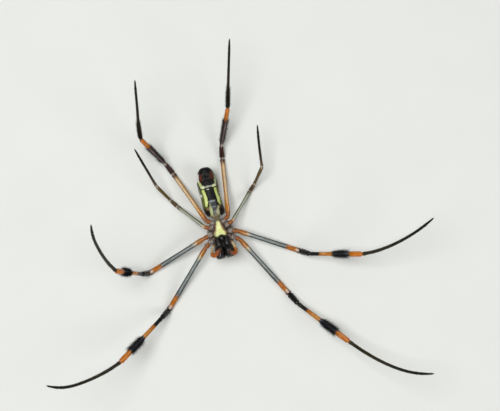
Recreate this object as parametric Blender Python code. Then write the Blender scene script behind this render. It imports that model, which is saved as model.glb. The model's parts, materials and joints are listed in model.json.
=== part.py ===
# Golden silk orb weaver, a still model at life size.
#
# The photograph looks at the spider's underside, so the model lies on its
# back: the floor is z = 0, the belly faces +Z, the head points along -Y and
# the abdomen along +Y. It rests on its abdomen and on the eight knees, and
# the outer joints of every leg rise from there to the tips.
#
# All sizes below are millimetres from the waist between the two body halves.
# The frame's own origin is the middle of the flat under the abdomen.

import math
import random

import bmesh
import bpy
from mathutils import Vector

MM = 0.001
FLAT_CENTRE = Vector((-0.40, 4.30, 0.0))
GAP = 0.20

# Front body: the carapace, rear edge to forehead, belly side up.
CARAPACE_REAR_Y = -0.35
CARAPACE_FRONT_Y = -9.30
CARAPACE_HALF_WIDTH = (2.7, 3.2, 3.3, 2.8, 2.4, 2.5)
CARAPACE_CENTRE_Z = (3.5, 3.2, 3.15, 2.8, 2.3, 2.2)
CARAPACE_HALF_HEIGHT = (0.9, 1.2, 1.2, 1.45, 1.1, 0.95)

STERNUM_REAR_Y = -0.75
STERNUM_FRONT_Y = -4.55
STERNUM_HALF_WIDTH = (0.75, 1.25, 1.6, 1.95, 1.9)
STERNUM_TOP_Z = 6.35
STERNUM_BASE_Z = 4.65

LABIUM_Y = -5.27
LABIUM_SIZE = (0.54, 0.52, 0.85)
MAXILLA_START = (1.08, -5.35, 5.70)
MAXILLA_END = (0.82, -7.10, 5.85)
MAXILLA_RADIUS = 0.56

CHELICERA_X = 1.15
CHELICERA_Y = -8.50
CHELICERA_BASE_Z = 3.65
CHELICERA_TIP_Z = 7.30
CHELICERA_HALF_WIDTH = (0.95, 1.05, 1.05, 1.05, 1.0)
CHELICERA_HALF_DEPTH = (1.00, 1.25, 1.38, 1.30, 1.10)

FANG_RADIUS = 0.24
PALP_RADIUS = 0.34
PALP_POINTS = {
    "palp_left": ((-2.12, -6.35, 5.60), (-2.68, -6.95, 5.90), (-3.25, -8.35, 6.90),
                  (-2.75, -8.85, 7.85), (-1.70, -8.15, 8.30), (-0.60, -7.25, 8.30)),
    "palp_right": ((2.12, -6.35, 5.60), (2.52, -7.00, 5.90), (2.80, -8.75, 7.00),
                   (2.40, -9.30, 7.90), (1.75, -9.00, 8.30), (1.00, -8.45, 8.35)),
}

EYE_RADIUS = 0.24
EYE_ROWS = (("front", 2.75, (0.30, 1.05)), ("back", 1.95, (0.42, 1.35)))

# Waist and rear body.
PEDICEL_RADIUS = 0.50
PEDICEL_Z = 3.70
ABDOMEN_FRONT_Y = 0.55
ABDOMEN_REAR_Y = 13.35
ABDOMEN_CENTRE_X = (0.0, -0.40, -0.50, -0.55, -0.45, -0.40)
ABDOMEN_HALF_WIDTH = (3.6, 2.85, 2.48, 2.60, 2.72, 2.5)
ABDOMEN_CENTRE_Z = (3.70, 3.00, 3.05, 3.30, 3.90, 4.60)
ABDOMEN_HALF_HEIGHT = (2.70, 3.35, 3.15, 2.95, 2.80, 2.30)
BOOK_LUNG_POINTS = ((-2.10, 1.90, 4.85), (1.40, 1.80, 4.85))
BOOK_LUNG_RADII = (0.75, 0.95, 0.35)
SPINNERET_CENTRE = (-0.50, 10.70)
EPIGYNE_CENTRE = (-0.30, 3.05)

# Leg segments, length in order: femur, patella, tibia, metatarsus, tarsus.
SEGMENT_LENGTHS = {
    1: (19.25, 4.00, 16.25, 20.25, 3.75),
    2: (17.40, 3.75, 13.75, 17.75, 3.50),
    3: (9.90, 2.50, 6.20, 8.50, 2.50),
    4: (15.30, 3.50, 11.25, 16.00, 3.25),
}
# Radius in order: coxa, trochanter, femur start and end, patella, tibia start
# and end, metatarsus start, tarsus start, tip.
SEGMENT_RADII = {
    1: (0.70, 0.55, 0.50, 0.57, 0.62, 0.46, 0.54, 0.36, 0.26, 0.16),
    2: (0.70, 0.55, 0.50, 0.56, 0.60, 0.44, 0.52, 0.35, 0.25, 0.16),
    3: (0.60, 0.46, 0.38, 0.42, 0.44, 0.36, 0.38, 0.29, 0.25, 0.15),
    4: (0.68, 0.54, 0.48, 0.53, 0.56, 0.44, 0.48, 0.34, 0.25, 0.16),
}
KNEE_Z = 0.54
# Where each coxa leaves the sternum's edge, ends, and where the femur starts,
# for the right side; the left side is the mirror of it.
HIP_POINTS = {
    1: ((2.05, -4.70, 5.35), (3.40, -5.72, 5.25), (4.35, -6.35, 5.00)),
    2: ((2.22, -3.48, 5.40), (3.20, -3.85, 5.35), (4.20, -4.10, 5.10)),
    3: ((1.86, -2.02, 5.40), (2.60, -1.78, 5.35), (3.50, -1.50, 5.10)),
    4: ((1.24, -0.92, 5.40), (1.95, -0.45, 5.30), (2.80, 0.00, 5.00)),
}
# The pose, in degrees: heading from above (0 = +X, 90 = towards the tail) and
# rise. A foot bends evenly through four headings, metatarsus to claw.
POSE = {
    "leg_1_left": {"femur": -133.8, "patella": (-145.5, 54.7), "tibia": (-146.3, 27.8),
                   "foot": (-158.0, -169.0, -181.0, -213.0), "foot_rise": 42.5},
    "leg_1_right": {"femur": -61.0, "patella": (-60.7, 39.1), "tibia": (-49.1, 19.3),
                    "foot": (-48.0, -41.0, -28.5, -8.0), "foot_rise": 24.0},
    "leg_2_left": {"femur": -160.7, "patella": (167.0, 63.6), "tibia": (155.1, 65.9),
                   "foot": (120.0, 106.5, 95.0, 75.0), "foot_rise": 53.5},
    "leg_2_right": {"femur": -31.1, "patella": (-27.7, 51.3), "tibia": (-12.7, 22.0),
                    "foot": (-3.0, 10.5, 20.5, 30.0), "foot_rise": 24.0},
    "leg_3_left": {"femur": 130.5, "patella": (124.0, 22.0), "tibia": (121.0, 40.0),
                   "foot": (108.0, 107.0, 107.0, 106.0), "foot_rise": 15.0},
    "leg_3_right": {"femur": 46.8, "patella": (45.0, 40.0), "tibia": (52.0, 40.0),
                    "foot": (86.0, 84.5, 83.0, 81.0), "foot_rise": 21.0},
    "leg_4_left": {"femur": 112.5, "patella": (114.6, 30.6), "tibia": (121.2, 42.9),
                   "foot": (88.0, 78.0, 79.5, 78.0), "foot_rise": 44.5},
    "leg_4_right": {"femur": 83.1, "patella": (81.5, 27.5), "tibia": (66.2, 35.1),
                    "foot": (76.0, 75.0, 75.0, 75.0), "foot_rise": 32.0},
}
# The bristle brush on a tibia: where its roots start and end as shares of the
# tibia, the radius its tips reach, and its rings and locks in a ring. A core
# reaches less than half way from the tibia to the tips.
BRUSHES = {1: (0.40, 0.69, 1.28, 5, 6), 2: (0.32, 0.65, 1.24, 5, 6), 4: (0.08, 0.62, 1.08, 6, 5)}
BRUSH_CORE = 0.40
LOCK_LEAN = 1.35
LOCK_HALF_WIDTH = 0.47
LOCK_HALF_THICKNESS = 0.20
LOCK_DRAWS = 24

# Colours as linear red, green, blue, with roughness.
COLOURS = {
    "carapace": ((0.055, 0.050, 0.040), 0.55),
    "sternum": ((0.72, 0.66, 0.22), 0.50),
    "black": ((0.010, 0.009, 0.009), 0.35),
    "coxa": ((0.060, 0.022, 0.014), 0.45),
    "femur_front": ((0.085, 0.095, 0.085), 0.35),
    "femur_hind": ((0.50, 0.20, 0.055), 0.40),
    "femur_third": ((0.22, 0.24, 0.17), 0.40),
    "tibia": ((0.20, 0.060, 0.015), 0.50),
    "foot": ((0.022, 0.015, 0.010), 0.50),
    "palp": ((0.42, 0.085, 0.020), 0.50),
    "abdomen": ((0.030, 0.030, 0.022), 0.45),
    "epigyne": ((0.090, 0.095, 0.120), 0.40),
    "eye": ((0.004, 0.004, 0.005), 0.10),
    "fang": ((0.060, 0.010, 0.006), 0.20),
}

for old in list(bpy.data.objects):
    bpy.data.objects.remove(old, do_unlink=True)
model = bpy.data.collections.new("golden_silk_orb_weaver")
bpy.context.scene.collection.children.link(model)


def at(point):
    """A place in the frame, in metres, from millimetres about the waist."""
    return (Vector(point) - FLAT_CENTRE) * MM


def heading(degrees, rise=0.0):
    """Unit vector at this heading seen from above and this rise."""
    turn = math.radians(degrees)
    lift = math.radians(rise)
    return Vector((math.cos(turn) * math.cos(lift), math.sin(turn) * math.cos(lift), math.sin(lift)))


def blend(values, share):
    """Smooth value at a share from 0 to 1 along evenly spaced key values."""
    last = len(values) - 1
    spot = min(max(share, 0.0), 1.0) * last
    index = min(int(spot), last - 1)
    t = spot - index
    before = values[max(index - 1, 0)]
    here = values[index]
    after = values[index + 1]
    beyond = values[min(index + 2, last)]
    bend = 2.0 * before - 5.0 * here + 4.0 * after - beyond
    twist = 3.0 * (here - after) + beyond - before
    return 0.5 * (2.0 * here + (after - before) * t + bend * t * t + twist * t ** 3)


def painted(name, colour_name):
    """A material for one node."""
    colour, roughness = COLOURS[colour_name]
    material = bpy.data.materials.new(name)
    material.use_nodes = True
    shader = material.node_tree.nodes["Principled BSDF"]
    shader.inputs["Base Color"].default_value = (*colour, 1.0)
    shader.inputs["Roughness"].default_value = roughness
    shader.inputs["Metallic"].default_value = 0.0
    return material


def add_node(name, mesh, colour_name):
    """Put a finished mesh in the model under its node's name."""
    for vertex in mesh.vertices:
        vertex.co.z = max(vertex.co.z, 0.0)
    mesh.shade_smooth()
    mesh.set_sharp_from_angle(angle=math.radians(40))
    node = bpy.data.objects.new(name, mesh)
    mesh.materials.clear()
    mesh.materials.append(painted(name, colour_name))
    model.objects.link(node)
    return node


def sphere_mesh(name, shape, segments, rings):
    """A UV sphere whose points are moved by shape(direction) to their place."""
    build = bmesh.new()
    bmesh.ops.create_uvsphere(build, u_segments=segments, v_segments=rings, radius=1.0)
    for vertex in build.verts:
        vertex.co = at(shape(vertex.co.normalized()))
    bmesh.ops.recalc_face_normals(build, faces=build.faces)
    mesh = bpy.data.meshes.new(name)
    build.to_mesh(mesh)
    build.free()
    return mesh


def tube_mesh(name, points, radii, sides_level=2):
    """A tube along points, with a radius at each, as a closed mesh."""
    curve = bpy.data.curves.new(name, "CURVE")
    curve.dimensions = "3D"
    curve.bevel_depth = MM
    curve.bevel_resolution = sides_level
    curve.use_fill_caps = True
    spline = curve.splines.new("POLY")
    spline.points.add(len(points) - 1)
    for spline_point, point, radius in zip(spline.points, points, radii):
        spline_point.co = (*at(point), 1.0)
        spline_point.radius = radius
    guide = bpy.data.objects.new(name, curve)
    bpy.context.scene.collection.objects.link(guide)
    bpy.context.view_layer.update()
    evaluated = guide.evaluated_get(bpy.context.evaluated_depsgraph_get())
    mesh = bpy.data.meshes.new_from_object(evaluated)
    bpy.data.objects.remove(guide, do_unlink=True)
    weld = bmesh.new()
    weld.from_mesh(mesh)
    bmesh.ops.remove_doubles(weld, verts=weld.verts, dist=0.001 * MM)
    bmesh.ops.recalc_face_normals(weld, faces=weld.faces)
    weld.to_mesh(mesh)
    weld.free()
    return mesh


def keep_largest(mesh):
    """Drop every closed surface of a mesh but the one with the most faces."""
    build = bmesh.new()
    build.from_mesh(mesh)
    waiting = set(build.faces)
    islands = []
    while waiting:
        border = [waiting.pop()]
        island = set(border)
        while border:
            face = border.pop()
            for edge in face.edges:
                for near in edge.link_faces:
                    if near in waiting:
                        waiting.remove(near)
                        island.add(near)
                        border.append(near)
        islands.append(island)
    largest = max(islands, key=len)
    scraps = [face for island in islands if island is not largest for face in island]
    bmesh.ops.delete(build, geom=scraps, context="FACES")
    build.to_mesh(mesh)
    build.free()


def free_of_touching(mesh):
    """True where no two edges of a closed mesh lie on each other."""
    build = bmesh.new()
    build.from_mesh(mesh)
    bmesh.ops.triangulate(build, faces=build.faces)
    bmesh.ops.remove_doubles(build, verts=build.verts, dist=0.0012 * MM)
    clean = all(edge.is_manifold for edge in build.edges)
    build.free()
    return clean


def union(node, meshes):
    """Join closed meshes to a node in one union."""
    pieces = bpy.data.collections.new(node.name + "_pieces")
    bpy.context.scene.collection.children.link(pieces)
    for mesh in meshes:
        piece = bpy.data.objects.new(node.name + "_piece", mesh)
        pieces.objects.link(piece)
    join = node.modifiers.new("join", "BOOLEAN")
    join.operation = "UNION"
    join.solver = "EXACT"
    join.operand_type = "COLLECTION"
    join.collection = pieces
    bpy.context.view_layer.update()
    evaluated = node.evaluated_get(bpy.context.evaluated_depsgraph_get())
    result = bpy.data.meshes.new_from_object(evaluated)
    node.modifiers.remove(join)
    node.data = result
    for piece in list(pieces.objects):
        bpy.data.objects.remove(piece, do_unlink=True)
    bpy.data.collections.remove(pieces)
    keep_largest(node.data)
    return node


# The carapace, broad at the legs and narrower at the head.
def carapace_shape(direction):
    share = 0.5 * (1.0 + direction.z)
    edge = math.hypot(direction.x, direction.y) ** 0.45
    around = math.atan2(direction.y, direction.x)
    y = CARAPACE_REAR_Y + (CARAPACE_FRONT_Y - CARAPACE_REAR_Y) * share
    x = blend(CARAPACE_HALF_WIDTH, share) * edge * math.cos(around)
    z = blend(CARAPACE_CENTRE_Z, share) + blend(CARAPACE_HALF_HEIGHT, share) * edge * math.sin(around)
    return x, y, z


def forehead(x, z):
    """How far forward the carapace reaches at this place across and up."""
    near = 0.5
    far = 1.0
    for step in range(30):
        share = 0.5 * (near + far)
        edge = (2.0 * math.sqrt(share * (1.0 - share))) ** 0.45
        across = x / (blend(CARAPACE_HALF_WIDTH, share) * edge)
        upward = (z - blend(CARAPACE_CENTRE_Z, share)) / (blend(CARAPACE_HALF_HEIGHT, share) * edge)
        if across ** 2 + upward ** 2 < 1.0:
            near = share
        else:
            far = share
    return CARAPACE_REAR_Y + (CARAPACE_FRONT_Y - CARAPACE_REAR_Y) * near


add_node("cephalothorax", sphere_mesh("cephalothorax", carapace_shape, 24, 14), "carapace")


# The sternum, a heart-shaped plate between the coxae, apex to the rear.
def sternum_shape(direction):
    share = 0.5 * (1.0 + direction.x)
    edge = math.hypot(direction.y, direction.z) ** 0.35
    around = math.atan2(direction.z, direction.y)
    y = STERNUM_REAR_Y + (STERNUM_FRONT_Y - STERNUM_REAR_Y) * share
    x = blend(STERNUM_HALF_WIDTH, share) * edge * math.cos(around)
    middle = 5.30
    reach = (STERNUM_TOP_Z - middle) if direction.z > 0.0 else (middle - STERNUM_BASE_Z)
    z = middle + reach * edge * math.sin(around)
    return x, y, z


add_node("sternum", sphere_mesh("sternum", sternum_shape, 18, 10), "sternum")


# Mouth parts: the labium between two maxillae, in front of the sternum.
def labium_shape(direction):
    half_x, half_y, half_z = LABIUM_SIZE
    return half_x * direction.x, LABIUM_Y + half_y * direction.y, 5.45 + half_z * direction.z


add_node("labium", sphere_mesh("labium", labium_shape, 12, 8), "black")
for side, sign in (("left", -1.0), ("right", 1.0)):
    start = Vector((sign * MAXILLA_START[0], *MAXILLA_START[1:]))
    end = Vector((sign * MAXILLA_END[0], *MAXILLA_END[1:]))
    reach = end - start
    route = [start + reach * share for share in (0.0, 0.15, 0.5, 0.85, 1.0)]
    sizes = [MAXILLA_RADIUS * size for size in (0.60, 0.82, 1.12, 1.16, 0.82)]
    add_node("maxilla_" + side, tube_mesh("maxilla_" + side, route, sizes), "black")


# The chelicerae, two stout upright jaws that bulge forward, with their fangs
# folded back over the tips.
for side, sign in (("left", -1.0), ("right", 1.0)):
    def chelicera_shape(direction, sign=sign):
        share = 0.5 * (1.0 + direction.z)
        edge = math.hypot(direction.x, direction.y) ** 0.55
        around = math.atan2(direction.y, direction.x)
        flank = math.copysign(abs(math.cos(around)) ** 0.75, math.cos(around))
        x = sign * CHELICERA_X + blend(CHELICERA_HALF_WIDTH, share) * edge * flank
        y = CHELICERA_Y + blend(CHELICERA_HALF_DEPTH, share) * edge * math.sin(around)
        z = CHELICERA_BASE_Z + (CHELICERA_TIP_Z - CHELICERA_BASE_Z) * share
        return x, y, z

    add_node("chelicera_" + side, sphere_mesh("chelicera_" + side, chelicera_shape, 16, 10), "black")
    fang_root = Vector((sign * 1.35, -9.10, CHELICERA_TIP_Z + GAP + FANG_RADIUS))
    fang_route = [fang_root + Vector((sign * -0.85 * share, 1.35 * math.sin(1.4 * share), 0.0))
                  for share in (0.0, 0.25, 0.5, 0.75, 1.0)]
    fang_sizes = [FANG_RADIUS * (1.0 - 0.75 * share) for share in (0.0, 0.25, 0.5, 0.75, 1.0)]
    add_node("fang_" + side, tube_mesh("fang_" + side, fang_route, fang_sizes), "fang")


# The palps, two short legs beside the jaws, folded in over them.
for name, corners in PALP_POINTS.items():
    route = []
    sizes = []
    steps = 11
    for step in range(steps):
        share = step / (steps - 1)
        place = [blend([corner[axis] for corner in corners], share) for axis in range(3)]
        route.append(Vector(place))
        waist = 1.0 - 0.16 * math.cos(share * math.tau * 3.0)
        sizes.append(PALP_RADIUS * waist * (1.0 - 0.35 * share ** 4))
    add_node(name, tube_mesh(name, route, sizes), "palp")


# Eight eyes in two rows on the forehead, above the jaws.
for row_name, row_z, distances in EYE_ROWS:
    for place, distance in zip(("middle", "side"), distances):
        for side, sign in (("left", -1.0), ("right", 1.0)):
            centre = Vector((sign * distance, forehead(distance, row_z) - 0.30, row_z))

            def eye_shape(direction, centre=centre):
                return centre + Vector((direction.x, 0.55 * direction.y, direction.z)) * EYE_RADIUS

            name = "eye_" + row_name + "_" + place + "_" + side
            add_node(name, sphere_mesh(name, eye_shape, 8, 6), "eye")


# The pedicel, the narrow waist.
pedicel_start = Vector((0.0, CARAPACE_REAR_Y + GAP, PEDICEL_Z))
pedicel_end = Vector((0.0, ABDOMEN_FRONT_Y - GAP, PEDICEL_Z))
pedicel_route = [pedicel_start.lerp(pedicel_end, share) for share in (0.0, 0.3, 0.7, 1.0)]
pedicel_sizes = [PEDICEL_RADIUS * size for size in (1.15, 1.0, 1.0, 1.2)]
add_node("pedicel", tube_mesh("pedicel", pedicel_route, pedicel_sizes), "carapace")


# The abdomen, a long blunt cylinder, with the raised covers of the two book
# lungs near its front.
def abdomen_shape(direction):
    share = 0.5 * (1.0 + direction.z)
    edge = math.hypot(direction.x, direction.y) ** 0.5
    around = math.atan2(direction.y, direction.x)
    y = ABDOMEN_FRONT_Y + (ABDOMEN_REAR_Y - ABDOMEN_FRONT_Y) * share
    x = blend(ABDOMEN_CENTRE_X, share) + blend(ABDOMEN_HALF_WIDTH, share) * edge * math.cos(around)
    z = blend(ABDOMEN_CENTRE_Z, share) + blend(ABDOMEN_HALF_HEIGHT, share) * edge * math.sin(around)
    return x, y, z


def belly_height(x, y):
    """Height of the abdomen's underside, which faces up, at this place."""
    share = (y - ABDOMEN_FRONT_Y) / (ABDOMEN_REAR_Y - ABDOMEN_FRONT_Y)
    edge = (2.0 * math.sqrt(share * (1.0 - share))) ** 0.5
    across = (x - blend(ABDOMEN_CENTRE_X, share)) / (blend(ABDOMEN_HALF_WIDTH, share) * edge)
    rise = blend(ABDOMEN_HALF_HEIGHT, share) * edge * math.sqrt(max(0.0, 1.0 - across * across))
    return blend(ABDOMEN_CENTRE_Z, share) + rise


abdomen = add_node("abdomen", sphere_mesh("abdomen", abdomen_shape, 26, 18), "abdomen")
lung_covers = []
for lung_x, lung_y, lung_z in BOOK_LUNG_POINTS:
    def lung_shape(direction, x=lung_x, y=lung_y, z=lung_z):
        return (x + BOOK_LUNG_RADII[0] * direction.x, y + BOOK_LUNG_RADII[1] * direction.y,
                z + BOOK_LUNG_RADII[2] * direction.z)

    lung_covers.append(sphere_mesh("book_lung", lung_shape, 12, 8))
union(abdomen, lung_covers)


# The spinnerets, a cluster of short cones on the rear of the belly: two
# large in front, two large behind and two small between them.
spinneret_x, spinneret_y = SPINNERET_CENTRE
spinneret_z = belly_height(spinneret_x, spinneret_y) + GAP


def spinneret_base(direction):
    lift = max(direction.z, -0.2)
    return (spinneret_x + 1.05 * direction.x, spinneret_y + 1.25 * direction.y, spinneret_z + 0.1 + 0.5 * lift)


spinnerets = add_node("spinnerets", sphere_mesh("spinnerets", spinneret_base, 16, 8), "black")
cones = []
for offset_y, offset_x, radius, length, lean in ((-0.60, 0.44, 0.42, 1.05, 0.38),
                                                 (0.05, 0.26, 0.24, 0.85, 0.05),
                                                 (0.66, 0.44, 0.40, 1.10, -0.22)):
    for sign in (-1.0, 1.0):
        root = Vector((spinneret_x + sign * offset_x, spinneret_y + offset_y, spinneret_z + 0.15))
        tip = root + Vector((sign * -0.20, lean, length))
        route = [root.lerp(tip, share) for share in (0.0, 0.55, 0.85, 1.0)]
        sizes = [radius * size for size in (1.0, 0.92, 0.66, 0.34)]
        cones.append(tube_mesh("spinneret", route, sizes))
union(spinnerets, cones)


# The epigyne, a small raised plate before the furrow of the belly.
epigyne_x, epigyne_y = EPIGYNE_CENTRE
epigyne_z = belly_height(epigyne_x, epigyne_y) + GAP


def epigyne_shape(direction):
    lift = max(direction.z, 0.0) * 0.38
    return epigyne_x + 0.62 * direction.x, epigyne_y + 0.48 * direction.y, epigyne_z + lift


add_node("epigyne", sphere_mesh("epigyne", epigyne_shape, 14, 8), "epigyne")


# The legs. Each is one line from hip to claw. Two nodes that meet at a joint
# both turn to the line that halves the bend, so their end faces are parallel.
def joint_bend(before, after):
    return (before.normalized() + after.normalized()).normalized()


def segment(start, end, start_turn, end_turn, radius_at, inner_points, start_gap=GAP, end_gap=GAP):
    """Points and radii of one tube from start to end, less half the gaps."""
    way = (end - start).normalized()
    length = (end - start).length
    route = [start + start_turn * (0.5 * start_gap)]
    sizes = [radius_at(0.0)]
    collar = 0.45
    route.append(start + start_turn * collar)
    sizes.append(radius_at(collar / length))
    first = 1.0 / length
    for step in range(inner_points):
        share = first + (1.0 - 2.0 * first) * step / (inner_points - 1)
        route.append(start + way * (length * share))
        sizes.append(radius_at(share))
    route.append(end - end_turn * collar)
    sizes.append(radius_at(1.0 - collar / length))
    route.append(end - end_turn * (0.5 * end_gap))
    sizes.append(radius_at(1.0))
    return route, sizes


def brush_locks(name, seed, shin, way, length, radius_at, brush):
    """Flat tapered locks that stand out and lean to the foot, ring by ring."""
    draw = random.Random(name + str(seed))
    first, last, reach, rings, around = brush
    side = way.cross(Vector((0.0, 0.0, 1.0))).normalized()
    above = side.cross(way)
    locks = []
    for ring in range(rings):
        for place in range(around):
            share = first + (last - first) * (ring + draw.uniform(-0.12, 0.12)) / (rings - 1)
            turn = math.tau * (place + 0.5 * (ring % 2) + draw.uniform(-0.10, 0.10)) / around
            outward = side * math.cos(turn) + above * math.sin(turn)
            across = way.cross(outward)
            sunk = 0.45 * radius_at(share)
            height = reach * draw.uniform(0.94, 1.04) - sunk
            lean = LOCK_LEAN * draw.uniform(0.90, 1.10)
            root = shin + way * (length * share) + outward * sunk

            def lock_shape(direction, root=root, outward=outward, across=across, height=height, lean=lean):
                along = 0.5 * (1.0 + direction.z)
                middle = root + outward * (height * along ** 0.85) + way * (lean * along ** 1.5)
                return (middle + across * (LOCK_HALF_WIDTH * direction.x)
                        + way * (LOCK_HALF_THICKNESS * direction.y))

            locks.append(sphere_mesh(name + "_lock", lock_shape, 4, 4))
    return locks


def leg(name, number, sign):
    lengths = SEGMENT_LENGTHS[number]
    radii = SEGMENT_RADII[number]
    pose = POSE[name]
    coxa_start, coxa_end, hip = [Vector((sign * x, y, z)) for x, y, z in HIP_POINTS[number]]

    femur_drop = math.degrees(math.asin((hip.z - KNEE_Z) / lengths[0]))
    femur_way = heading(pose["femur"], -femur_drop)
    knee = hip + femur_way * lengths[0]
    patella_way = heading(*pose["patella"])
    shin = knee + patella_way * lengths[1]
    tibia_way = heading(*pose["tibia"])
    ankle = shin + tibia_way * lengths[2]
    foot_length = lengths[3] + lengths[4]

    # Coxa and trochanter.
    hip_turn = joint_bend(coxa_end - coxa_start, femur_way)
    coxa_way = (coxa_end - coxa_start).normalized()
    coxa_length = (coxa_end - coxa_start).length
    route = [coxa_start + coxa_way * (coxa_length * share) for share in (0.0, 0.2, 0.55, 0.85, 1.0)]
    sizes = [radii[0] * size for size in (0.62, 0.88, 1.0, 0.95, 0.74)]
    route += [coxa_end.lerp(hip, 0.35), hip - hip_turn * 0.35, hip - hip_turn * (0.5 * GAP)]
    sizes += [radii[1] * size for size in (0.98, 1.0, 0.9)]
    coxa_name = name.replace("leg", "coxa")
    add_node(coxa_name, tube_mesh(coxa_name, route, sizes), "coxa")

    # Femur, slightly thicker to its far end.
    knee_turn = joint_bend(femur_way, patella_way)

    def femur_radius(share):
        shape = math.sin(math.pi * min(share * 4.0, 0.5)) * 0.12 + 0.88
        return (radii[2] + (radii[3] - radii[2]) * share) * shape

    route, sizes = segment(hip, knee, hip_turn, knee_turn, femur_radius, 5)
    femur_name = name.replace("leg", "femur")
    femur_colour = {1: "femur_front", 2: "femur_front", 3: "femur_third", 4: "femur_hind"}[number]
    add_node(femur_name, tube_mesh(femur_name, route, sizes), femur_colour)

    # Patella and tibia are one node, with the tibia's bristle brush.
    ankle_turn = joint_bend(tibia_way, heading(pose["foot"][0], pose["foot_rise"]))
    shin_turn = joint_bend(patella_way, tibia_way)
    route = [knee + knee_turn * (0.5 * GAP), knee + knee_turn * 0.45]
    sizes = [radii[3], radii[4]]
    route += [knee + patella_way * lengths[1] * 0.45, shin - patella_way * 0.7, shin, shin + tibia_way * 0.7]
    sizes += [radii[4] * 1.04, radii[4] * 0.95, radii[5] * 0.98, radii[5]]
    brush = BRUSHES.get(number)
    inner = 12 if brush else 6

    def tibia_radius(share):
        radius = radii[5] + (radii[6] - radii[5]) * share
        if brush and brush[0] < share < brush[1] + 0.08:
            middle = (share - brush[0]) / (brush[1] + 0.08 - brush[0])
            radius += (brush[2] - radius) * BRUSH_CORE * math.sin(math.pi * middle) ** 0.5
        return radius

    for step in range(1, inner):
        share = step / inner
        route.append(shin + tibia_way * (lengths[2] * share))
        sizes.append(tibia_radius(share))
    route += [ankle - ankle_turn * 0.45, ankle - ankle_turn * (0.5 * GAP)]
    sizes += [radii[6], radii[6] * 0.9]
    tibia_name = name.replace("leg", "tibia")
    tibia = add_node(tibia_name, tube_mesh(tibia_name, route, sizes), "tibia")
    if brush:
        # The locks are drawn again where two of their edges would touch.
        bare = tibia.data.copy()
        for seed in range(LOCK_DRAWS):
            tibia.data = bare.copy()
            union(tibia, brush_locks(tibia_name, seed, shin, tibia_way, lengths[2], tibia_radius, brush))
            if free_of_touching(tibia.data):
                break

    # Metatarsus and tarsus, one long curve to the claw.
    place = ankle + ankle_turn * (0.5 * GAP)
    route = [place.copy(), ankle + ankle_turn * 0.45]
    sizes = [radii[7] * 1.1, radii[7] * 1.15]
    place = ankle.copy()
    steps = 12 if number != 3 else 8
    for step in range(steps):
        share = (step + 0.5) / steps
        place += heading(blend(pose["foot"], share), pose["foot_rise"]) * (foot_length / steps)
        route.append(place.copy())
        done = (step + 1) / steps
        knuckle = lengths[3] / foot_length
        if done < knuckle:
            radius = radii[7] + (radii[8] - radii[7]) * done / knuckle
        else:
            radius = radii[8] + (radii[9] - radii[8]) * (done - knuckle) / (1.0 - knuckle)
        sizes.append(radius)
    foot_name = name.replace("leg", "metatarsus")
    add_node(foot_name, tube_mesh(foot_name, route, sizes), "foot")


for number in (1, 2, 3, 4):
    leg("leg_" + str(number) + "_left", number, -1.0)
    leg("leg_" + str(number) + "_right", number, 1.0)
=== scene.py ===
import json
import math

import bmesh
import bpy
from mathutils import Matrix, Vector

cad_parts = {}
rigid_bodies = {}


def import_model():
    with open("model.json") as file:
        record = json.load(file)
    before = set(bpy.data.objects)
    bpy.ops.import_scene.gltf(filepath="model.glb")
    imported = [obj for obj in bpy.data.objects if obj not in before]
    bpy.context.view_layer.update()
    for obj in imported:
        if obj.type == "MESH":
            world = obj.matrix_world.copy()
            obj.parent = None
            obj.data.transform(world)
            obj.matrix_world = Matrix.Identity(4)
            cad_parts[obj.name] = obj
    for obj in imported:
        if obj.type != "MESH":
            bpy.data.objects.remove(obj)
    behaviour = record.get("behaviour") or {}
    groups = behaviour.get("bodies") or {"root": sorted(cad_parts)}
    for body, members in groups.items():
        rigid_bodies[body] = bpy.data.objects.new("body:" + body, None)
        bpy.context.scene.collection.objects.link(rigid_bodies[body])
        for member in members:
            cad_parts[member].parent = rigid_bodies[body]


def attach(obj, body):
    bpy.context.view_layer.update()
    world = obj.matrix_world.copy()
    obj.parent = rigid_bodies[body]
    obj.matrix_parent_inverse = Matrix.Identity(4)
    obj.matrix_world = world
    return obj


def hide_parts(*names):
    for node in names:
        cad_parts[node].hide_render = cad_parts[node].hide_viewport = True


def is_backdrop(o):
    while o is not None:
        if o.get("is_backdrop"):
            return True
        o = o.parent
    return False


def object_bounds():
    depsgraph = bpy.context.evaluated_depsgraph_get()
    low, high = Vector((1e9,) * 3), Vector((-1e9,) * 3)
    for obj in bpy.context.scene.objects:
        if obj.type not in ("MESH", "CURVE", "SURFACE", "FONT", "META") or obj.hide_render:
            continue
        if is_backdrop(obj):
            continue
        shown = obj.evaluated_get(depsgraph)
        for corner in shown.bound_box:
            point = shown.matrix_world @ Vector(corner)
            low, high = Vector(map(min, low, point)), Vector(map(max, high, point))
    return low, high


# Golden silk orb weaver at life size, lying on its back as its solids do.
# Sizes are millimetres from the waist between the two body halves, belly
# towards +Z, head towards -Y; the frame's own origin lies under the abdomen.
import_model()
cad_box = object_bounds()


# The camera looks straight down on the belly from half a metre, turned so
# that the body leans thirteen degrees in the picture.
CAMERA_AIM = (0.00910, -0.00297)
CAMERA_HEIGHT = 0.505
CAMERA_TURN = -13.0
lens = bpy.data.cameras.new("view")
lens.sensor_width = 36.0
lens.lens = 144.0
lens.clip_start = 0.01
camera = bpy.data.objects.new("view", lens)
camera.location = (*CAMERA_AIM, CAMERA_HEIGHT)
camera.rotation_euler = (0.0, 0.0, math.radians(CAMERA_TURN))
bpy.context.scene.collection.objects.link(camera)
bpy.context.scene.camera = camera
bpy.context.scene.view_settings.view_transform = "Standard"


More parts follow.
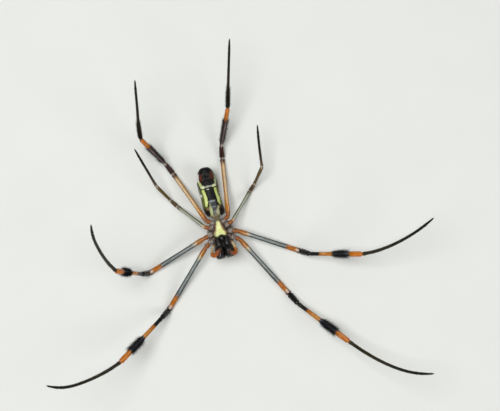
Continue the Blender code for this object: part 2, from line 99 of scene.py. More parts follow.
# The studio: a wide pale floor, one large soft lamp above the camera's left
# shoulder, a weaker one opposite, a low one from the head, and an even sky.
class Wire:
    """One output in a node tree; sums and products of it add maths nodes."""

    def __init__(self, works, socket):
        self.works = works
        self.socket = socket

    def maths(self, operation, first, second=0.0):
        return self.works.node("ShaderNodeMath", {"operation": operation}, (first, second))

    def __add__(self, other):
        return self.maths("ADD", self, other)

    def __radd__(self, other):
        return self.maths("ADD", other, self)

    def __sub__(self, other):
        return self.maths("SUBTRACT", self, other)

    def __rsub__(self, other):
        return self.maths("SUBTRACT", other, self)

    def __mul__(self, other):
        return self.maths("MULTIPLY", self, other)

    def __rmul__(self, other):
        return self.maths("MULTIPLY", other, self)

    def __truediv__(self, other):
        return self.maths("DIVIDE", self, other)

    def __abs__(self):
        return self.maths("ABSOLUTE", self)

    def ramp(self, low, high):
        """0 at low and 1 at high, eased between; falling where low is the larger."""
        values = (self, low, high, 0.0, 1.0)
        return self.works.node("ShaderNodeMapRange", {"interpolation_type": "SMOOTHSTEP"}, values)


class Works:
    """A node tree being wired."""

    def __init__(self, tree):
        self.tree = tree

    def node(self, kind, settings=None, values=(), output=0):
        """Add a node: its settings first, then its sockets' values or links, by place or name."""
        made = self.tree.nodes.new(kind)
        for key, value in (settings or {}).items():
            if key == "stops":
                stops = made.color_ramp.elements
                stops[0].position, stops[0].color = value[0][0], (*value[0][1], 1.0)
                stops[1].position, stops[1].color = value[-1][0], (*value[-1][1], 1.0)
                for spot, colour in value[1:-1]:
                    stops.new(spot).color = (*colour, 1.0)
            else:
                setattr(made, key, value)
        for key, value in values.items() if isinstance(values, dict) else enumerate(values):
            socket = made.inputs[key]
            if isinstance(value, Wire):
                self.tree.links.new(value.socket, socket)
            elif socket.type == "RGBA":
                socket.default_value = (*value, 1.0)
            else:
                socket.default_value = value
        return Wire(self, made.outputs[output] if made.outputs else None)


class Finish(Works):
    """A material in the making: the shader's fixed numbers, then what varies."""

    def __init__(self, name, **fixed):
        self.material = bpy.data.materials.new(name)
        self.material.use_nodes = True
        super().__init__(self.material.node_tree)
        self.shader = self.tree.nodes["Principled BSDF"]
        for socket, value in fixed.items():
            self.shader.inputs[socket.replace("_", " ")].default_value = value
        where = self.node("ShaderNodeTexCoord", output="Object")
        settings = {"Vector": where, "Location": (-0.40, 4.30, 0.0), "Scale": (1000.0, 1000.0, 1000.0)}
        self.place = self.node("ShaderNodeMapping", None, settings)

    def feed(self, socket, wire):
        self.tree.links.new(wire.socket, self.shader.inputs[socket])

    def mix(self, under, over, share):
        return self.node("ShaderNodeMix", {"data_type": "RGBA"}, {0: share, 6: under, 7: over}, 2)

    def noise(self, scale, detail=2.0, where=None, roughness=0.5):
        values = {"Vector": where or self.place, "Scale": scale, "Detail": detail, "Roughness": roughness}
        return self.node("ShaderNodeTexNoise", None, values)

    def bump(self, height, depth):
        values = {"Height": height, "Strength": 1.0, "Distance": depth * 0.001}
        self.feed("Normal", self.node("ShaderNodeBump", None, values))

    def axes(self, where=None):
        split = self.node("ShaderNodeSeparateXYZ", None, (where or self.place,)).socket.node
        return [Wire(self, split.outputs[axis]) for axis in range(3)]


floor_mesh = bpy.data.meshes.new("floor")
floor_mesh.from_pydata([(-3, -3, 0), (3, -3, 0), (3, 3, 0), (-3, 3, 0)], [], [(0, 1, 2, 3)])
floor = bpy.data.objects.new("floor", floor_mesh)
bpy.context.scene.collection.objects.link(floor)
paper = Finish("pale_paper", Roughness=0.9)
paper.feed("Base Color", paper.mix((0.74, 0.75, 0.71), (0.78, 0.79, 0.75), paper.noise(0.06, 3.0)))
floor_mesh.materials.append(paper.material)
floor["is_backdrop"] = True

for name, spot, size, power in (
    ("key", (-0.14, 0.11, 0.70), 0.42, 3.9),
    ("fill", (0.42, -0.30, 0.52), 0.45, 1.3),
    ("low", (-0.30, -0.60, 0.25), 0.35, 0.6),
):
    lamp = bpy.data.lights.new(name, "AREA")
    lamp.shape = "DISK"
    lamp.size = size
    lamp.energy = power
    stand = bpy.data.objects.new(name, lamp)
    stand.location = spot
    stand.rotation_euler = (-Vector(spot)).to_track_quat("-Z", "Y").to_euler()
    bpy.context.scene.collection.objects.link(stand)

sky = bpy.data.worlds.new("sky")
sky.use_nodes = True
sky.node_tree.nodes["Background"].inputs["Color"].default_value = (0.93, 0.96, 1.0, 1.0)
sky.node_tree.nodes["Background"].inputs["Strength"].default_value = 0.22
bpy.context.scene.world = sky


# The carapace, the hard shield over the front body: black-brown cuticle with
# a raised head, a pit in the middle, grooves running out to the legs, and two
# low horns. Here its back faces the floor.
CARAPACE_REAR_Y = -0.35
CARAPACE_FRONT_Y = -9.30
CARAPACE_HALF_WIDTH = (2.65, 3.15, 3.25, 2.75, 2.35, 2.45)
CARAPACE_CENTRE_Z = (3.5, 3.2, 3.15, 2.8, 2.3, 2.2)
CARAPACE_HALF_HEIGHT = (0.85, 1.12, 1.12, 1.37, 1.05, 0.9)
PIT = (0.0, -3.2)
GROOVES = ((18.0, 0.09), (52.0, 0.17), (88.0, 0.09), (124.0, 0.09))


def blend(values, share):
    """Smooth value at a share from 0 to 1 along evenly spaced key values."""
    last = len(values) - 1
    spot = min(max(share, 0.0), 1.0) * last
    index = min(int(spot), last - 1)
    t = spot - index
    before = values[max(index - 1, 0)]
    here = values[index]
    after = values[index + 1]
    beyond = values[min(index + 2, last)]
    bend = 2.0 * before - 5.0 * here + 4.0 * after - beyond
    twist = 3.0 * (here - after) + beyond - before
    return 0.5 * (2.0 * here + (after - before) * t + bend * t * t + twist * t ** 3)


def bell(distance, width):
    return math.exp(-((distance / width) ** 2))


def at(point):
    """A place in the frame, in metres, kept above the floor."""
    x, y, z = point
    return (x + 0.40) * 0.001, (y - 4.30) * 0.001, max(z, 0.0) * 0.001


def mark(mesh, name, kind, values):
    """Store a number or vector for each vertex."""
    store = mesh.attributes.new(name, kind, "POINT")
    if kind == "FLOAT":
        store.data.foreach_set("value", values)
    else:
        store.data.foreach_set("vector", [number for value in values for number in value])


def closed_skin(name, spots, rings, sides):
    """A smooth mesh of rings between two poles, right side out, with its unwrap."""
    faces = []
    corners = []
    for ring in range(rings):
        low, high = ring / rings, (ring + 1) / rings
        for side in range(sides):
            over = (side + 1) % sides
            near = 1 + (ring - 1) * sides
            far = near + sides
            left, right = side / sides, (side + 1) / sides
            if ring == 0:
                faces.append((0, far + over, far + side))
                corners += [((left + right) / 2, low), (right, high), (left, high)]
            elif ring == rings - 1:
                faces.append((near + side, near + over, len(spots) - 1))
                corners += [(left, low), (right, low), ((left + right) / 2, high)]
            else:
                faces.append((near + side, near + over, far + over, far + side))
                corners += [(left, low), (right, low), (right, high), (left, high)]
    mesh = bpy.data.meshes.new(name)
    mesh.from_pydata([at(spot) for spot in spots], [], faces)
    spread = mesh.uv_layers.new(name="OFBake")
    spread.data.foreach_set("uv", [value for corner in corners for value in corner])
    volume = 0.0
    for face in mesh.polygons:
        first, *rest = [mesh.vertices[index].co for index in face.vertices]
        for second, third in zip(rest, rest[1:]):
            volume += first.dot(second.cross(third))
    if volume < 0.0:
        mesh.flip_normals()
    mesh.shade_smooth()
    return mesh


def ring_mesh(name, rings, sides, point, lie=(0.0, 1.0, 0.0), hair=None):
    """A skin whose places point(along, around) gives. Hairs on it grow along lie, as dense as hair says."""
    spots = [point(0.0, 0.0)]
    for ring in range(1, rings):
        spots += [point(ring / rings, math.tau * side / sides) for side in range(sides)]
    spots.append(point(1.0, 0.0))
    mesh = closed_skin(name, spots, rings, sides)
    mark(mesh, "lie", "FLOAT_VECTOR", [lie(spot) if callable(lie) else lie for spot in spots])
    mark(mesh, "hair", "FLOAT", [hair(spot) if hair else 1.0 for spot in spots])
    return mesh


def fit(name, mesh, finish, slot, *nodes):
    """Put a finished mesh on the body, in place of these solids."""
    piece = bpy.data.objects.new(name, mesh)
    mesh.materials.clear()
    mesh.materials.append(finish.material)
    bpy.context.scene.collection.objects.link(piece)
    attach(piece, "root")
    if nodes:
        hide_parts(*nodes)
    return piece


def carapace_point(along, around):
    share = 0.5 - 0.5 * math.cos(math.pi * along)
    edge = abs(math.sin(math.pi * along)) ** 0.45
    y = CARAPACE_REAR_Y + (CARAPACE_FRONT_Y - CARAPACE_REAR_Y) * share
    x = blend(CARAPACE_HALF_WIDTH, share) * edge * math.cos(around)
    back = max(0.0, -math.sin(around)) ** 0.5
    height = blend(CARAPACE_HALF_HEIGHT, share) * edge * math.sin(around)
    # The pit, the grooves that run out from it, the horns and the rim.
    sink = 0.28 * bell(x - PIT[0], 0.30) * bell(y - PIT[1], 0.55)
    off_x, off_y = x - PIT[0], y - PIT[1]
    reach = math.hypot(off_x, off_y)
    for angle, depth in GROOVES:
        for sign in (-1.0, 1.0):
            way_x, way_y = sign * math.sin(math.radians(angle)), -math.cos(math.radians(angle))
            if off_x * way_x + off_y * way_y > 0.0:
                off_line = off_x * way_y - off_y * way_x
                sink += depth * bell(off_line, 0.16 + 0.05 * reach) * min(1.0, reach / 0.8)
    horns = 0.50 * bell(abs(x) - 0.55, 0.20) * bell(y + 5.1, 0.22)
    rim = 0.10 * bell(math.sin(around), 0.16)
    return x + rim * math.cos(around), y, blend(CARAPACE_CENTRE_Z, share) + height + (sink - horns) * back


cuticle = Finish("carapace_cuticle", Coat_Weight=0.15, Coat_Roughness=0.3)
blotches = cuticle.noise(0.9, 4.0)
cuticle.feed("Base Color", cuticle.mix((0.020, 0.014, 0.011), (0.085, 0.050, 0.028), blotches.ramp(0.40, 0.72)))
pores = cuticle.node("ShaderNodeTexVoronoi", None, {"Vector": cuticle.place, "Scale": 7.0})
cuticle.bump(cuticle.noise(5.0, 4.0) + pores.ramp(0.0, 0.35) * 0.35, 0.05)
cuticle.feed("Roughness", 0.34 + 0.22 * blotches)


def carapace_hair(spot):
    """Hair is thick on the shield, thin on its pit, grooves and horns, and nearly absent by the mouth."""
    x, y, z = spot
    off_x, off_y = abs(x - PIT[0]), y - PIT[1]
    bare = 0.85 * bell(off_x, 0.35) * bell(off_y, 0.55) + 0.9 * bell(off_x - 0.55, 0.30) * bell(y + 5.1, 0.35)
    for angle, depth in GROOVES:
        way_x, way_y = math.sin(math.radians(angle)), -math.cos(math.radians(angle))
        if off_x * way_x + off_y * way_y > 0.3:
            bare += 4.0 * depth * bell(off_x * way_y - off_y * way_x, 0.16)
    if z > 2.6 and y < -4.2 or y < -8.9:
        return 0.10
    return max(0.08, 1.0 - bare) if z < 3.6 else 0.15


carapace_mesh = ring_mesh("carapace", 84, 96, carapace_point, hair=carapace_hair,
                          lie=lambda spot: (spot[0], spot[1] - PIT[1], 0.15))
carapace = fit("carapace", carapace_mesh, cuticle, "carapace", "cephalothorax")


# Short silver hair lies over the carapace, thin blades that bend flat from
# the pit out to its edge.
def bristle_tree():
    """Blades over a skin: three-sided cones, flattened and bent, set by chance along the skin's lie."""
    tree = bpy.data.node_groups.new("bristles", "GeometryNodeTree")
    face = tree.interface
    face.new_socket("Skin", in_out="INPUT", socket_type="NodeSocketGeometry")
    for name in ("Density", "Length", "Width", "Stand", "Spread", "Curl", "Flatness", "Evenness"):
        face.new_socket(name, in_out="INPUT", socket_type="NodeSocketFloat")
    face.new_socket("Seed", in_out="INPUT", socket_type="NodeSocketInt")
    face.new_socket("Finish", in_out="INPUT", socket_type="NodeSocketMaterial")
    face.new_socket("Bristles", in_out="OUTPUT", socket_type="NodeSocketGeometry")
    works = Works(tree)
    entry = works.node("NodeGroupInput").socket.node
    given = {socket.name: Wire(works, socket) for socket in entry.outputs if socket.name}

    def named(name, kind):
        found = works.node("GeometryNodeInputNamedAttribute", {"data_type": kind}, {"Name": name})
        shown = [socket for socket in found.socket.node.outputs if socket.enabled and socket.name != "Exists"]
        return Wire(works, shown[0])

    def vector(operation, *parts, output=0):
        return works.node("ShaderNodeVectorMath", {"operation": operation}, parts, output)

    def scaled(way, size):
        return works.node("ShaderNodeVectorMath", {"operation": "SCALE"}, {"Vector": way, "Scale": size})

    def chance(kind, low, high, seed, output):
        values = {low[0]: low[1], high[0]: high[1], "Seed": given["Seed"] + seed}
        return works.node("FunctionNodeRandomValue", {"data_type": kind}, values, output)

    def store(mesh, name, kind, domain, value):
        settings = {"data_type": kind, "domain": domain}
        made = works.node("GeometryNodeStoreNamedAttribute", settings, {"Geometry": mesh, "Name": name})
        takes = [socket for socket in made.socket.node.inputs if socket.enabled and socket.name == "Value"]
        tree.links.new(value.socket, takes[0])
        return made

    # The roots, and the way that each blade points.
    density = given["Density"] * named("hair", "FLOAT")
    values = {"Mesh": given["Skin"], "Density": density, "Seed": given["Seed"]}
    scatter = works.node("GeometryNodeDistributePointsOnFaces", None, values)
    normal = Wire(works, scatter.socket.node.outputs["Normal"])
    points = store(scatter, "root", "FLOAT_VECTOR", "POINT", named("OFBake", "FLOAT_VECTOR"))
    lie = named("lie", "FLOAT_VECTOR")
    flat = vector("NORMALIZE", vector("SUBTRACT", lie, scaled(normal, vector("DOT_PRODUCT", lie, normal, output=1))))
    stray = chance("FLOAT_VECTOR", (0, (-1.0, -1.0, -1.0)), (1, (1.0, 1.0, 1.0)), 7, 0)
    way = vector("ADD", vector("ADD", flat, scaled(normal, given["Stand"])), scaled(stray, given["Spread"]))
    turn = works.node("FunctionNodeAlignRotationToVector", {"axis": "Z"}, {"Vector": way})
    values = {"Rotation": turn, "Vector": normal}
    turn = works.node("FunctionNodeAlignRotationToVector", {"axis": "Y", "pivot_axis": "Z"}, values)

    # One blade, a unit long, fuller in the middle.
    ratio = given["Width"] / given["Length"]
    values = {"Vertices": 3, "Side Segments": 3, "Radius Top": 0.0, "Radius Bottom": ratio * 0.5, "Depth": 1.0}
    blade = works.node("GeometryNodeMeshCone", {"fill_type": "NGON"}, values)
    split = works.node("ShaderNodeSeparateXYZ", None, (works.node("GeometryNodeInputPosition"),)).socket.node
    x, y, z = [Wire(works, socket) for socket in split.outputs]
    fuller = 1.0 + 0.9 * z * (1.0 - z)
    low = y * given["Flatness"] - given["Curl"] * z * z
    bent = works.node("ShaderNodeCombineXYZ", None, (x * fuller, low, z))
    blade = works.node("GeometryNodeSetPosition", None, {"Geometry": blade, "Position": bent})
    blade = store(blade, "leaf", "FLOAT_VECTOR", "POINT", works.node("ShaderNodeCombineXYZ", None, (x, z, 0.0)))

    # The coat, each blade a small patch at its root's place on the unwrap.
    grown = chance("FLOAT", (2, given["Evenness"]), (3, 1.0), 3, 1) * given["Length"]
    values = {"Points": points, "Instance": blade, "Rotation": turn, "Scale": grown}
    coat = works.node("GeometryNodeInstanceOnPoints", None, values)
    coat = works.node("GeometryNodeRealizeInstances", None, {"Geometry": coat})
    above = vector("MAXIMUM", works.node("GeometryNodeInputPosition"), (-1.0, -1.0, 0.0))
    coat = works.node("GeometryNodeSetPosition", None, {"Geometry": coat, "Position": above})
    coat = works.node("GeometryNodeRemoveAttribute", None, {"Geometry": coat, "Name": "OFBake"})
    patch = vector("ADD", named("root", "FLOAT_VECTOR"), scaled(named("leaf", "FLOAT_VECTOR"), 0.003))
    coat = store(coat, "OFBake", "FLOAT2", "CORNER", patch)
    coat = works.node("GeometryNodeSetShadeSmooth", None, {0: coat})
    coat = works.node("GeometryNodeSetMaterial", None, {"Geometry": coat, "Material": given["Finish"]})
    works.node("NodeGroupOutput", None, (coat,))
    return tree


bristles = bristle_tree()


def grow(name, skin, finish, slot, density, length, width, stand=0.5, spread=0.2, curl=0.15, flatness=0.5,
         evenness=0.6, hair=None):
    """Grow one coat piece: millimetres, and blades a square millimetre."""
    mesh = skin.data.copy()
    if hair:
        mesh.attributes["hair"].data.foreach_set("value", hair)
    guide = bpy.data.objects.new(name, mesh)
    bpy.context.scene.collection.objects.link(guide)
    growth = guide.modifiers.new("bristles", "NODES")
    growth.node_group = bristles
    sizes = {
        "Density": density * 1.0e6, "Length": length * 0.001, "Width": width * 0.001, "Stand": stand,
        "Spread": spread, "Curl": curl, "Flatness": flatness, "Evenness": evenness,
        "Seed": len(bpy.data.objects), "Finish": finish.material,
    }
    for socket in bristles.interface.items_tree:
        if socket.in_out == "INPUT" and socket.name in sizes:
            growth[socket.identifier] = sizes[socket.name]
    evaluated = guide.evaluated_get(bpy.context.evaluated_depsgraph_get())
    coat = bpy.data.meshes.new_from_object(evaluated)
    coat.name = name
    bpy.data.objects.remove(guide, do_unlink=True)
    return fit(name, coat, finish, slot)


silver = Finish("silver_hair", Roughness=0.45)
silver.feed("Base Color", silver.mix((0.16, 0.14, 0.11), (0.50, 0.48, 0.43), silver.noise(2.5, 2.0).ramp(0.3, 0.7)))
grow("carapace_hair", carapace, silver, "carapace", 55.0, 0.50, 0.055, stand=0.30, spread=0.22, curl=0.10)


# The sternum, a hard heart-shaped plate between the legs, with a low knob
# beside each coxa: bright yellow down the middle, tan towards its edges.
STERNUM_REAR_Y = -0.55
STERNUM_FRONT_Y = -4.60
STERNUM_HALF_WIDTH = (0.80, 1.30, 1.65, 2.0, 1.95)
STERNUM_TOP_Z = 6.33
KNOBS = ((1.05, -1.55), (1.42, -2.75), (1.62, -3.95), (0.95, -4.25), (0.0, -1.05))


def sternum_point(along, around):
    share = 0.5 - 0.5 * math.cos(math.pi * along)
    edge = abs(math.sin(math.pi * along)) ** 0.35
    y = STERNUM_REAR_Y + (STERNUM_FRONT_Y - STERNUM_REAR_Y) * share
    x = blend(STERNUM_HALF_WIDTH, share) * edge * math.cos(around)
    rise = math.sin(around)
    z = 5.25 + ((STERNUM_TOP_Z - 5.25) if rise > 0.0 else 0.75) * edge * rise
    if rise > 0.0:
        knobs = sum(bell(abs(x) - knob_x, 0.26) * bell(y - knob_y, 0.30) for knob_x, knob_y in KNOBS)
        z += 0.13 * rise * knobs - 0.12 * rise * bell(x, 0.9)
    y += 0.45 * bell(x, 0.75) * max(0.0, share - 0.6) / 0.4
    return x, y, z


plate = Finish("sternum_plate", Coat_Weight=0.25, Coat_Roughness=0.22)
x, y, z = plate.axes()
waver = plate.noise(1.6, 3.0) - 0.5
widths = ((0.0, (0.38,) * 3), (0.35, (0.54,) * 3), (0.60, (0.78,) * 3), (0.76, (1.12,) * 3), (1.0, (1.45,) * 3))
back = plate.node("ShaderNodeMapRange", None, (y, -0.6, -4.4, 0.0, 1.0))
half = plate.node("ShaderNodeValToRGB", {"stops": widths}, (back,)) + waver * 0.45
centre = abs(x + 0.10)
yellow = (half - centre).ramp(-0.16, 0.20)
pale_side = x.ramp(-0.9, -1.5) * y.ramp(-2.7, -3.7) * 0.75
tan = plate.mix((0.045, 0.018, 0.009), (0.36, 0.23, 0.10), (half + 0.55 - centre).ramp(-0.15, 0.60))
lemon = plate.mix((0.68, 0.71, 0.22), (0.80, 0.84, 0.40), plate.noise(0.8, 2.0).ramp(0.35, 0.65))
plate.feed("Base Color", plate.mix(plate.mix(tan, (0.50, 0.44, 0.27), pale_side), lemon, yellow))
plate.feed("Roughness", 0.38 + 0.2 * plate.noise(3.0))
plate.bump(plate.noise(6.0, 3.0) + 0.6 * plate.noise(18.0, 2.0), 0.035)
sternum_mesh = ring_mesh("sternum", 60, 72, sternum_point, hair=lambda spot: 1.0 if spot[2] > 5.5 else 0.0)
sternum = fit("sternum_plate", sternum_mesh, plate, "sternum", "sternum")
dark_hair = Finish("dark_hair", Roughness=0.42)
dark_hair.feed("Base Color", dark_hair.mix((0.012, 0.010, 0.009), (0.060, 0.045, 0.030), dark_hair.noise(3.0)))
grow("sternum_hair", sternum, dark_hair, "sternum", 9.0, 0.42, 0.035, stand=0.9, spread=0.35)


# The mouth: a black labium between two broad maxillae, plates of cuticle
# hinged on the front body and fringed where they meet, and under them the
# dark creased skin that joins the head to its jaws.
LABIUM_Y = -5.10
LABIUM_SIZE = (0.66, 0.86, 0.87)
MAXILLA_START = (1.30, -4.75, 5.50)
MAXILLA_END = (0.90, -7.26, 5.82)
MAXILLA_RADIUS = 0.60


def labium_point(along, around):
    edge = abs(math.sin(math.pi * along)) ** 0.7
    x = LABIUM_SIZE[0] * edge * math.cos(around)
    y = LABIUM_Y + LABIUM_SIZE[1] * math.cos(math.pi * along)
    z = 5.45 + LABIUM_SIZE[2] * edge * math.sin(around)
    return x, y, z - 0.06 * bell(x, 0.12) * max(0.0, math.sin(around))


def limb_mesh(name, centres, radii, sides, start=0.0, shape=None, hair=None):
    """A closed skin along a line of places. On each vertex it notes how far along the line it is, and
    its place on a straight unit tube, for patterns that follow the surface."""
    count = len(centres)
    ways = [(centres[min(i + 1, count - 1)] - centres[max(i - 1, 0)]).normalized() for i in range(count)]
    up = Vector((0.0, 0.0, 1.0)) if abs(ways[0].z) < 0.9 else Vector((0.0, 1.0, 0.0))
    station = start
    spots, lies, stations, wraps = [centres[0]], [ways[0]], [start], [(0.0, 0.0, start)]
    for index, (centre, way, radius) in enumerate(zip(centres, ways, radii)):
        if index:
            station += (centre - centres[index - 1]).length
        up = (up - way * up.dot(way)).normalized()
        side_way = way.cross(up)
        for side in range(sides):
            around = math.tau * side / sides
            outward = up * math.cos(around) + side_way * math.sin(around)
            spots.append(centre + outward * radius * (shape(station, around) if shape else 1.0))
            lies.append(way)
            stations.append(station)
            wraps.append((math.cos(around), math.sin(around), station))
    spots.append(centres[-1])
    lies.append(ways[-1])
    stations.append(station)
    wraps.append((0.0, 0.0, station))
    mesh = closed_skin(name, spots, count + 1, sides)
    mark(mesh, "lie", "FLOAT_VECTOR", lies)
    mark(mesh, "hair", "FLOAT", [hair(spot, far) if hair else 1.0 for spot, far in zip(spots, stations)])
    mark(mesh, "station", "FLOAT", stations)
    mark(mesh, "wrap", "FLOAT_VECTOR", wraps)
    return mesh


black = Finish("black_cuticle", Coat_Weight=0.35, Coat_Roughness=0.10, Specular_IOR_Level=0.22)
dusk = black.mix((0.005, 0.005, 0.005), (0.022, 0.020, 0.015), black.noise(1.5, 4.0).ramp(0.48, 0.78))
black.feed("Base Color", dusk)
pores = black.node("ShaderNodeTexVoronoi", None, {"Vector": black.place, "Scale": 8.0})
black.bump(black.noise(9.0, 3.0) + pores.ramp(0.0, 0.4) * 0.5, 0.030)
black.feed("Roughness", 0.30 + 0.3 * black.noise(2.2, 3.0))

joint_skin = Finish("joint_skin", Coat_Weight=0.05)
joint_skin.feed("Base Color", joint_skin.mix((0.010, 0.008, 0.007), (0.034, 0.024, 0.018), joint_skin.noise(2.0, 3.0)))
joint_skin.feed("Roughness", 0.5 + 0.2 * joint_skin.noise(4.0))
creases = joint_skin.node("ShaderNodeTexWave", {"bands_direction": "Y"}, {"Vector": joint_skin.place, "Scale": 1.1, "Distortion": 3.0})
joint_skin.bump(creases + joint_skin.noise(8.0, 3.0), 0.05)


def throat_point(along, around):
    edge = math.sin(math.pi * along) ** 0.6
    fold = 1.0 + 0.025 * math.cos(26.0 * along)
    return (1.80 * edge * math.cos(around) * fold, -6.85 + 2.05 * math.cos(math.pi * along),
            3.85 + 0.95 * edge * math.sin(around) * fold)


fit("throat_skin", ring_mesh("throat", 40, 40, throat_point), joint_skin, "black_cuticle")

labium = fit("labium_plate", ring_mesh("labium", 28, 32, labium_point), black, "black_cuticle", "labium")
grow("labium_hair", labium, dark_hair, "black_cuticle", 9.0, 0.40, 0.035, stand=1.4, spread=0.5)
for side, sign in (("left", -1.0), ("right", 1.0)):
    start = Vector((sign * MAXILLA_START[0], *MAXILLA_START[1:]))
    end = Vector((sign * MAXILLA_END[0], *MAXILLA_END[1:]))
    route = [start.lerp(end, step / 30) for step in range(31)]
    sizes = []
    for step in range(31):
        cap = math.sqrt(max(0.0, 1.0 - abs(step / 15 - 1.0) ** 6))
        sizes.append(MAXILLA_RADIUS * max(0.12, cap * blend((0.85, 0.95, 1.12, 1.20, 1.08), step / 30)))
    maxilla_mesh = limb_mesh("maxilla", route, sizes, 32, shape=lambda far, around: 1.16 - 0.22 * abs(math.cos(around)))
    maxilla = fit("maxilla_plate_" + side, maxilla_mesh, black, "black_cuticle", "maxilla_" + side)
    fringe = [2.5 * bell(corner.co.y - at((0, -7.1, 0))[1], 0.0005) + 0.25 for corner in maxilla_mesh.vertices]
    grow("maxilla_hair_" + side, maxilla, dark_hair, "black_cuticle", 16.0, 0.48, 0.040, stand=0.9, spread=0.5,
         hair=fringe)


# The chelicerae, two stout glossy jaws that stand up from the head here, each
# ending in a curved fang folded across its tip, with teeth beside it.
CHELICERA_X = 1.18
CHELICERA_Y = -8.54
CHELICERA_BASE_Z = 3.55
CHELICERA_TIP_Z = 7.30
CHELICERA_HALF_WIDTH = (0.95, 1.08, 1.14, 1.15, 1.12)
CHELICERA_HALF_DEPTH = (1.00, 1.28, 1.50, 1.50, 1.30)
FANG_RADIUS = 0.24
FANG_Z = 7.74
TEETH = ((0.55, -7.85, 0.13), (0.95, -7.62, 0.15), (1.40, -7.60, 0.12), (0.50, -9.35, 0.12), (1.00, -9.42, 0.13))


def merged(name, meshes):
    """Several closed meshes as one piece."""
    build = bmesh.new()
    for mesh in meshes:
        build.from_mesh(mesh)
    whole = bpy.data.meshes.new(name)
    build.to_mesh(whole)
    build.free()
    whole.shade_smooth()
    return whole


fang_finish = Finish("fang_horn", Coat_Weight=0.5, Coat_Roughness=0.08)
root_to_tip = fang_finish.node("ShaderNodeAttribute", {"attribute_name": "station"}, output="Fac")
fang_tone = fang_finish.mix((0.010, 0.006, 0.005), (0.075, 0.014, 0.007), root_to_tip.ramp(0.2, 1.3))
fang_finish.feed("Base Color", fang_finish.mix(fang_tone, (0.006, 0.004, 0.004), root_to_tip.ramp(1.2, 1.8)))
fang_finish.feed("Roughness", 0.14 + 0.15 * fang_finish.noise(4.0))
fang_finish.bump(fang_finish.noise(6.0, 2.0), 0.008)

for side, sign in (("left", -1.0), ("right", 1.0)):
    def jaw_point(along, around):
        share = 0.5 - 0.5 * math.cos(math.pi * along)
        edge = abs(math.sin(math.pi * along)) ** 0.55
        inner = sign * math.cos(around) < 0.0
        flank = 1.03 * abs(math.cos(around)) ** 0.22 if inner else 1.20 * abs(math.cos(around)) ** 0.52
        flank = math.copysign(flank, math.cos(around))
        x = sign * CHELICERA_X + blend(CHELICERA_HALF_WIDTH, share) * edge * flank
        y = CHELICERA_Y + blend(CHELICERA_HALF_DEPTH, share) * edge * math.sin(around)
        z = CHELICERA_BASE_Z + (CHELICERA_TIP_Z - CHELICERA_BASE_Z) * share
        # The furrow that the fang lies in, across the tip.
        furrow = 0.24 * bell(y - (FANG_ROOT_Y + 0.55 * (1.35 - abs(x))), 0.26) * max(0.0, share - 0.8) / 0.2
        return x, y, z - furrow

    FANG_ROOT_Y = -8.95
    jaw_mesh = ring_mesh("jaw", 56, 56, jaw_point, lie=(0.0, -0.2, 1.0),
                         hair=lambda spot: 1.0 if spot[2] > 4.6 else 0.3)
    teeth = []
    for tooth_x, tooth_y, tooth_size in TEETH:
        foot = Vector((sign * tooth_x, tooth_y, CHELICERA_TIP_Z - 0.30))
        tooth_route = [foot + Vector((0.0, 0.0, 0.09 * step)) for step in range(7)]
        tooth_sizes = [tooth_size * (1.0 - 0.14 * step) for step in range(7)]
        teeth.append(limb_mesh("tooth", tooth_route, tooth_sizes, 10))
    jaw = fit("jaw_" + side, merged("jaw_" + side, [jaw_mesh, *teeth]), black, "black_cuticle", "chelicera_" + side)
    grow("jaw_hair_" + side, jaw, dark_hair, "black_cuticle", 11.0, 0.62, 0.042, stand=0.8, spread=0.35)
    fang_root = Vector((sign * 1.35, -9.10, FANG_Z))
    fang_route = []
    fang_sizes = []
    for step in range(29):
        share = step / 28
        place = fang_root + Vector((sign * -0.85 * share, 1.35 * math.sin(1.4 * share), -0.10 * share))
        fang_route.append(place - Vector((sign * -0.10, 0.28, 0.18)) * (1.0 - min(1.0, share * 4.0)))
        fang_sizes.append(FANG_RADIUS * (1.28 - 0.3 * min(1.0, share * 5.0) - 0.86 * share ** 1.2) + 0.012)
    fang_mesh = limb_mesh("fang", fang_route, fang_sizes, 20)
    fit("fang_horn_" + side, fang_mesh, fang_finish, "fang", "fang_" + side)


# The palps, two short jointed feelers beside the jaws: pale thighs, then
# orange-red to a dark tip. The one small claw at the tip is not built.
PALP_RADIUS = 0.34
PALP_POINTS = {
    "palp_left": ((-2.12, -6.20, 5.45), (-2.68, -6.95, 5.90), (-3.25, -8.35, 6.90),
                  (-2.75, -8.85, 7.85), (-1.70, -8.15, 8.30), (-0.60, -7.25, 8.30)),
    "palp_right": ((2.12, -6.20, 5.45), (2.52, -7.00, 5.90), (2.80, -8.75, 7.00),
                   (2.40, -9.30, 7.90), (1.75, -9.00, 8.30), (1.00, -8.45, 8.35)),
}
PALP_JOINTS = (0.10, 0.40, 0.53, 0.71)

palp_finish = Finish("palp_skin", Coat_Weight=0.25, Coat_Roughness=0.14, Specular_IOR_Level=0.22)
far = palp_finish.node("ShaderNodeAttribute", {"attribute_name": "share"}, output="Fac")
palp_stops = (
    (0.00, (0.10, 0.045, 0.02)), (0.09, (0.30, 0.20, 0.11)), (0.14, (0.58, 0.48, 0.31)),
    (0.33, (0.50, 0.38, 0.20)), (0.42, (0.43, 0.145, 0.022)), (0.60, (0.46, 0.108, 0.009)),
    (0.76, (0.33, 0.076, 0.008)), (0.90, (0.085, 0.028, 0.010)), (1.00, (0.018, 0.010, 0.008)),
)
palp_tone = palp_finish.node("ShaderNodeValToRGB", {"stops": palp_stops}, (far + 0.05 * (palp_finish.noise(2.0) - 0.5),))
palp_dark = palp_finish.noise(2.5, 3.0).ramp(0.52, 0.78) * 0.45
palp_finish.feed("Base Color", palp_finish.mix(palp_tone, (0.09, 0.02, 0.008), palp_dark))
palp_finish.feed("Roughness", 0.33 + 0.22 * palp_finish.noise(4.0))
palp_finish.bump(palp_finish.noise(10.0, 3.0), 0.03)
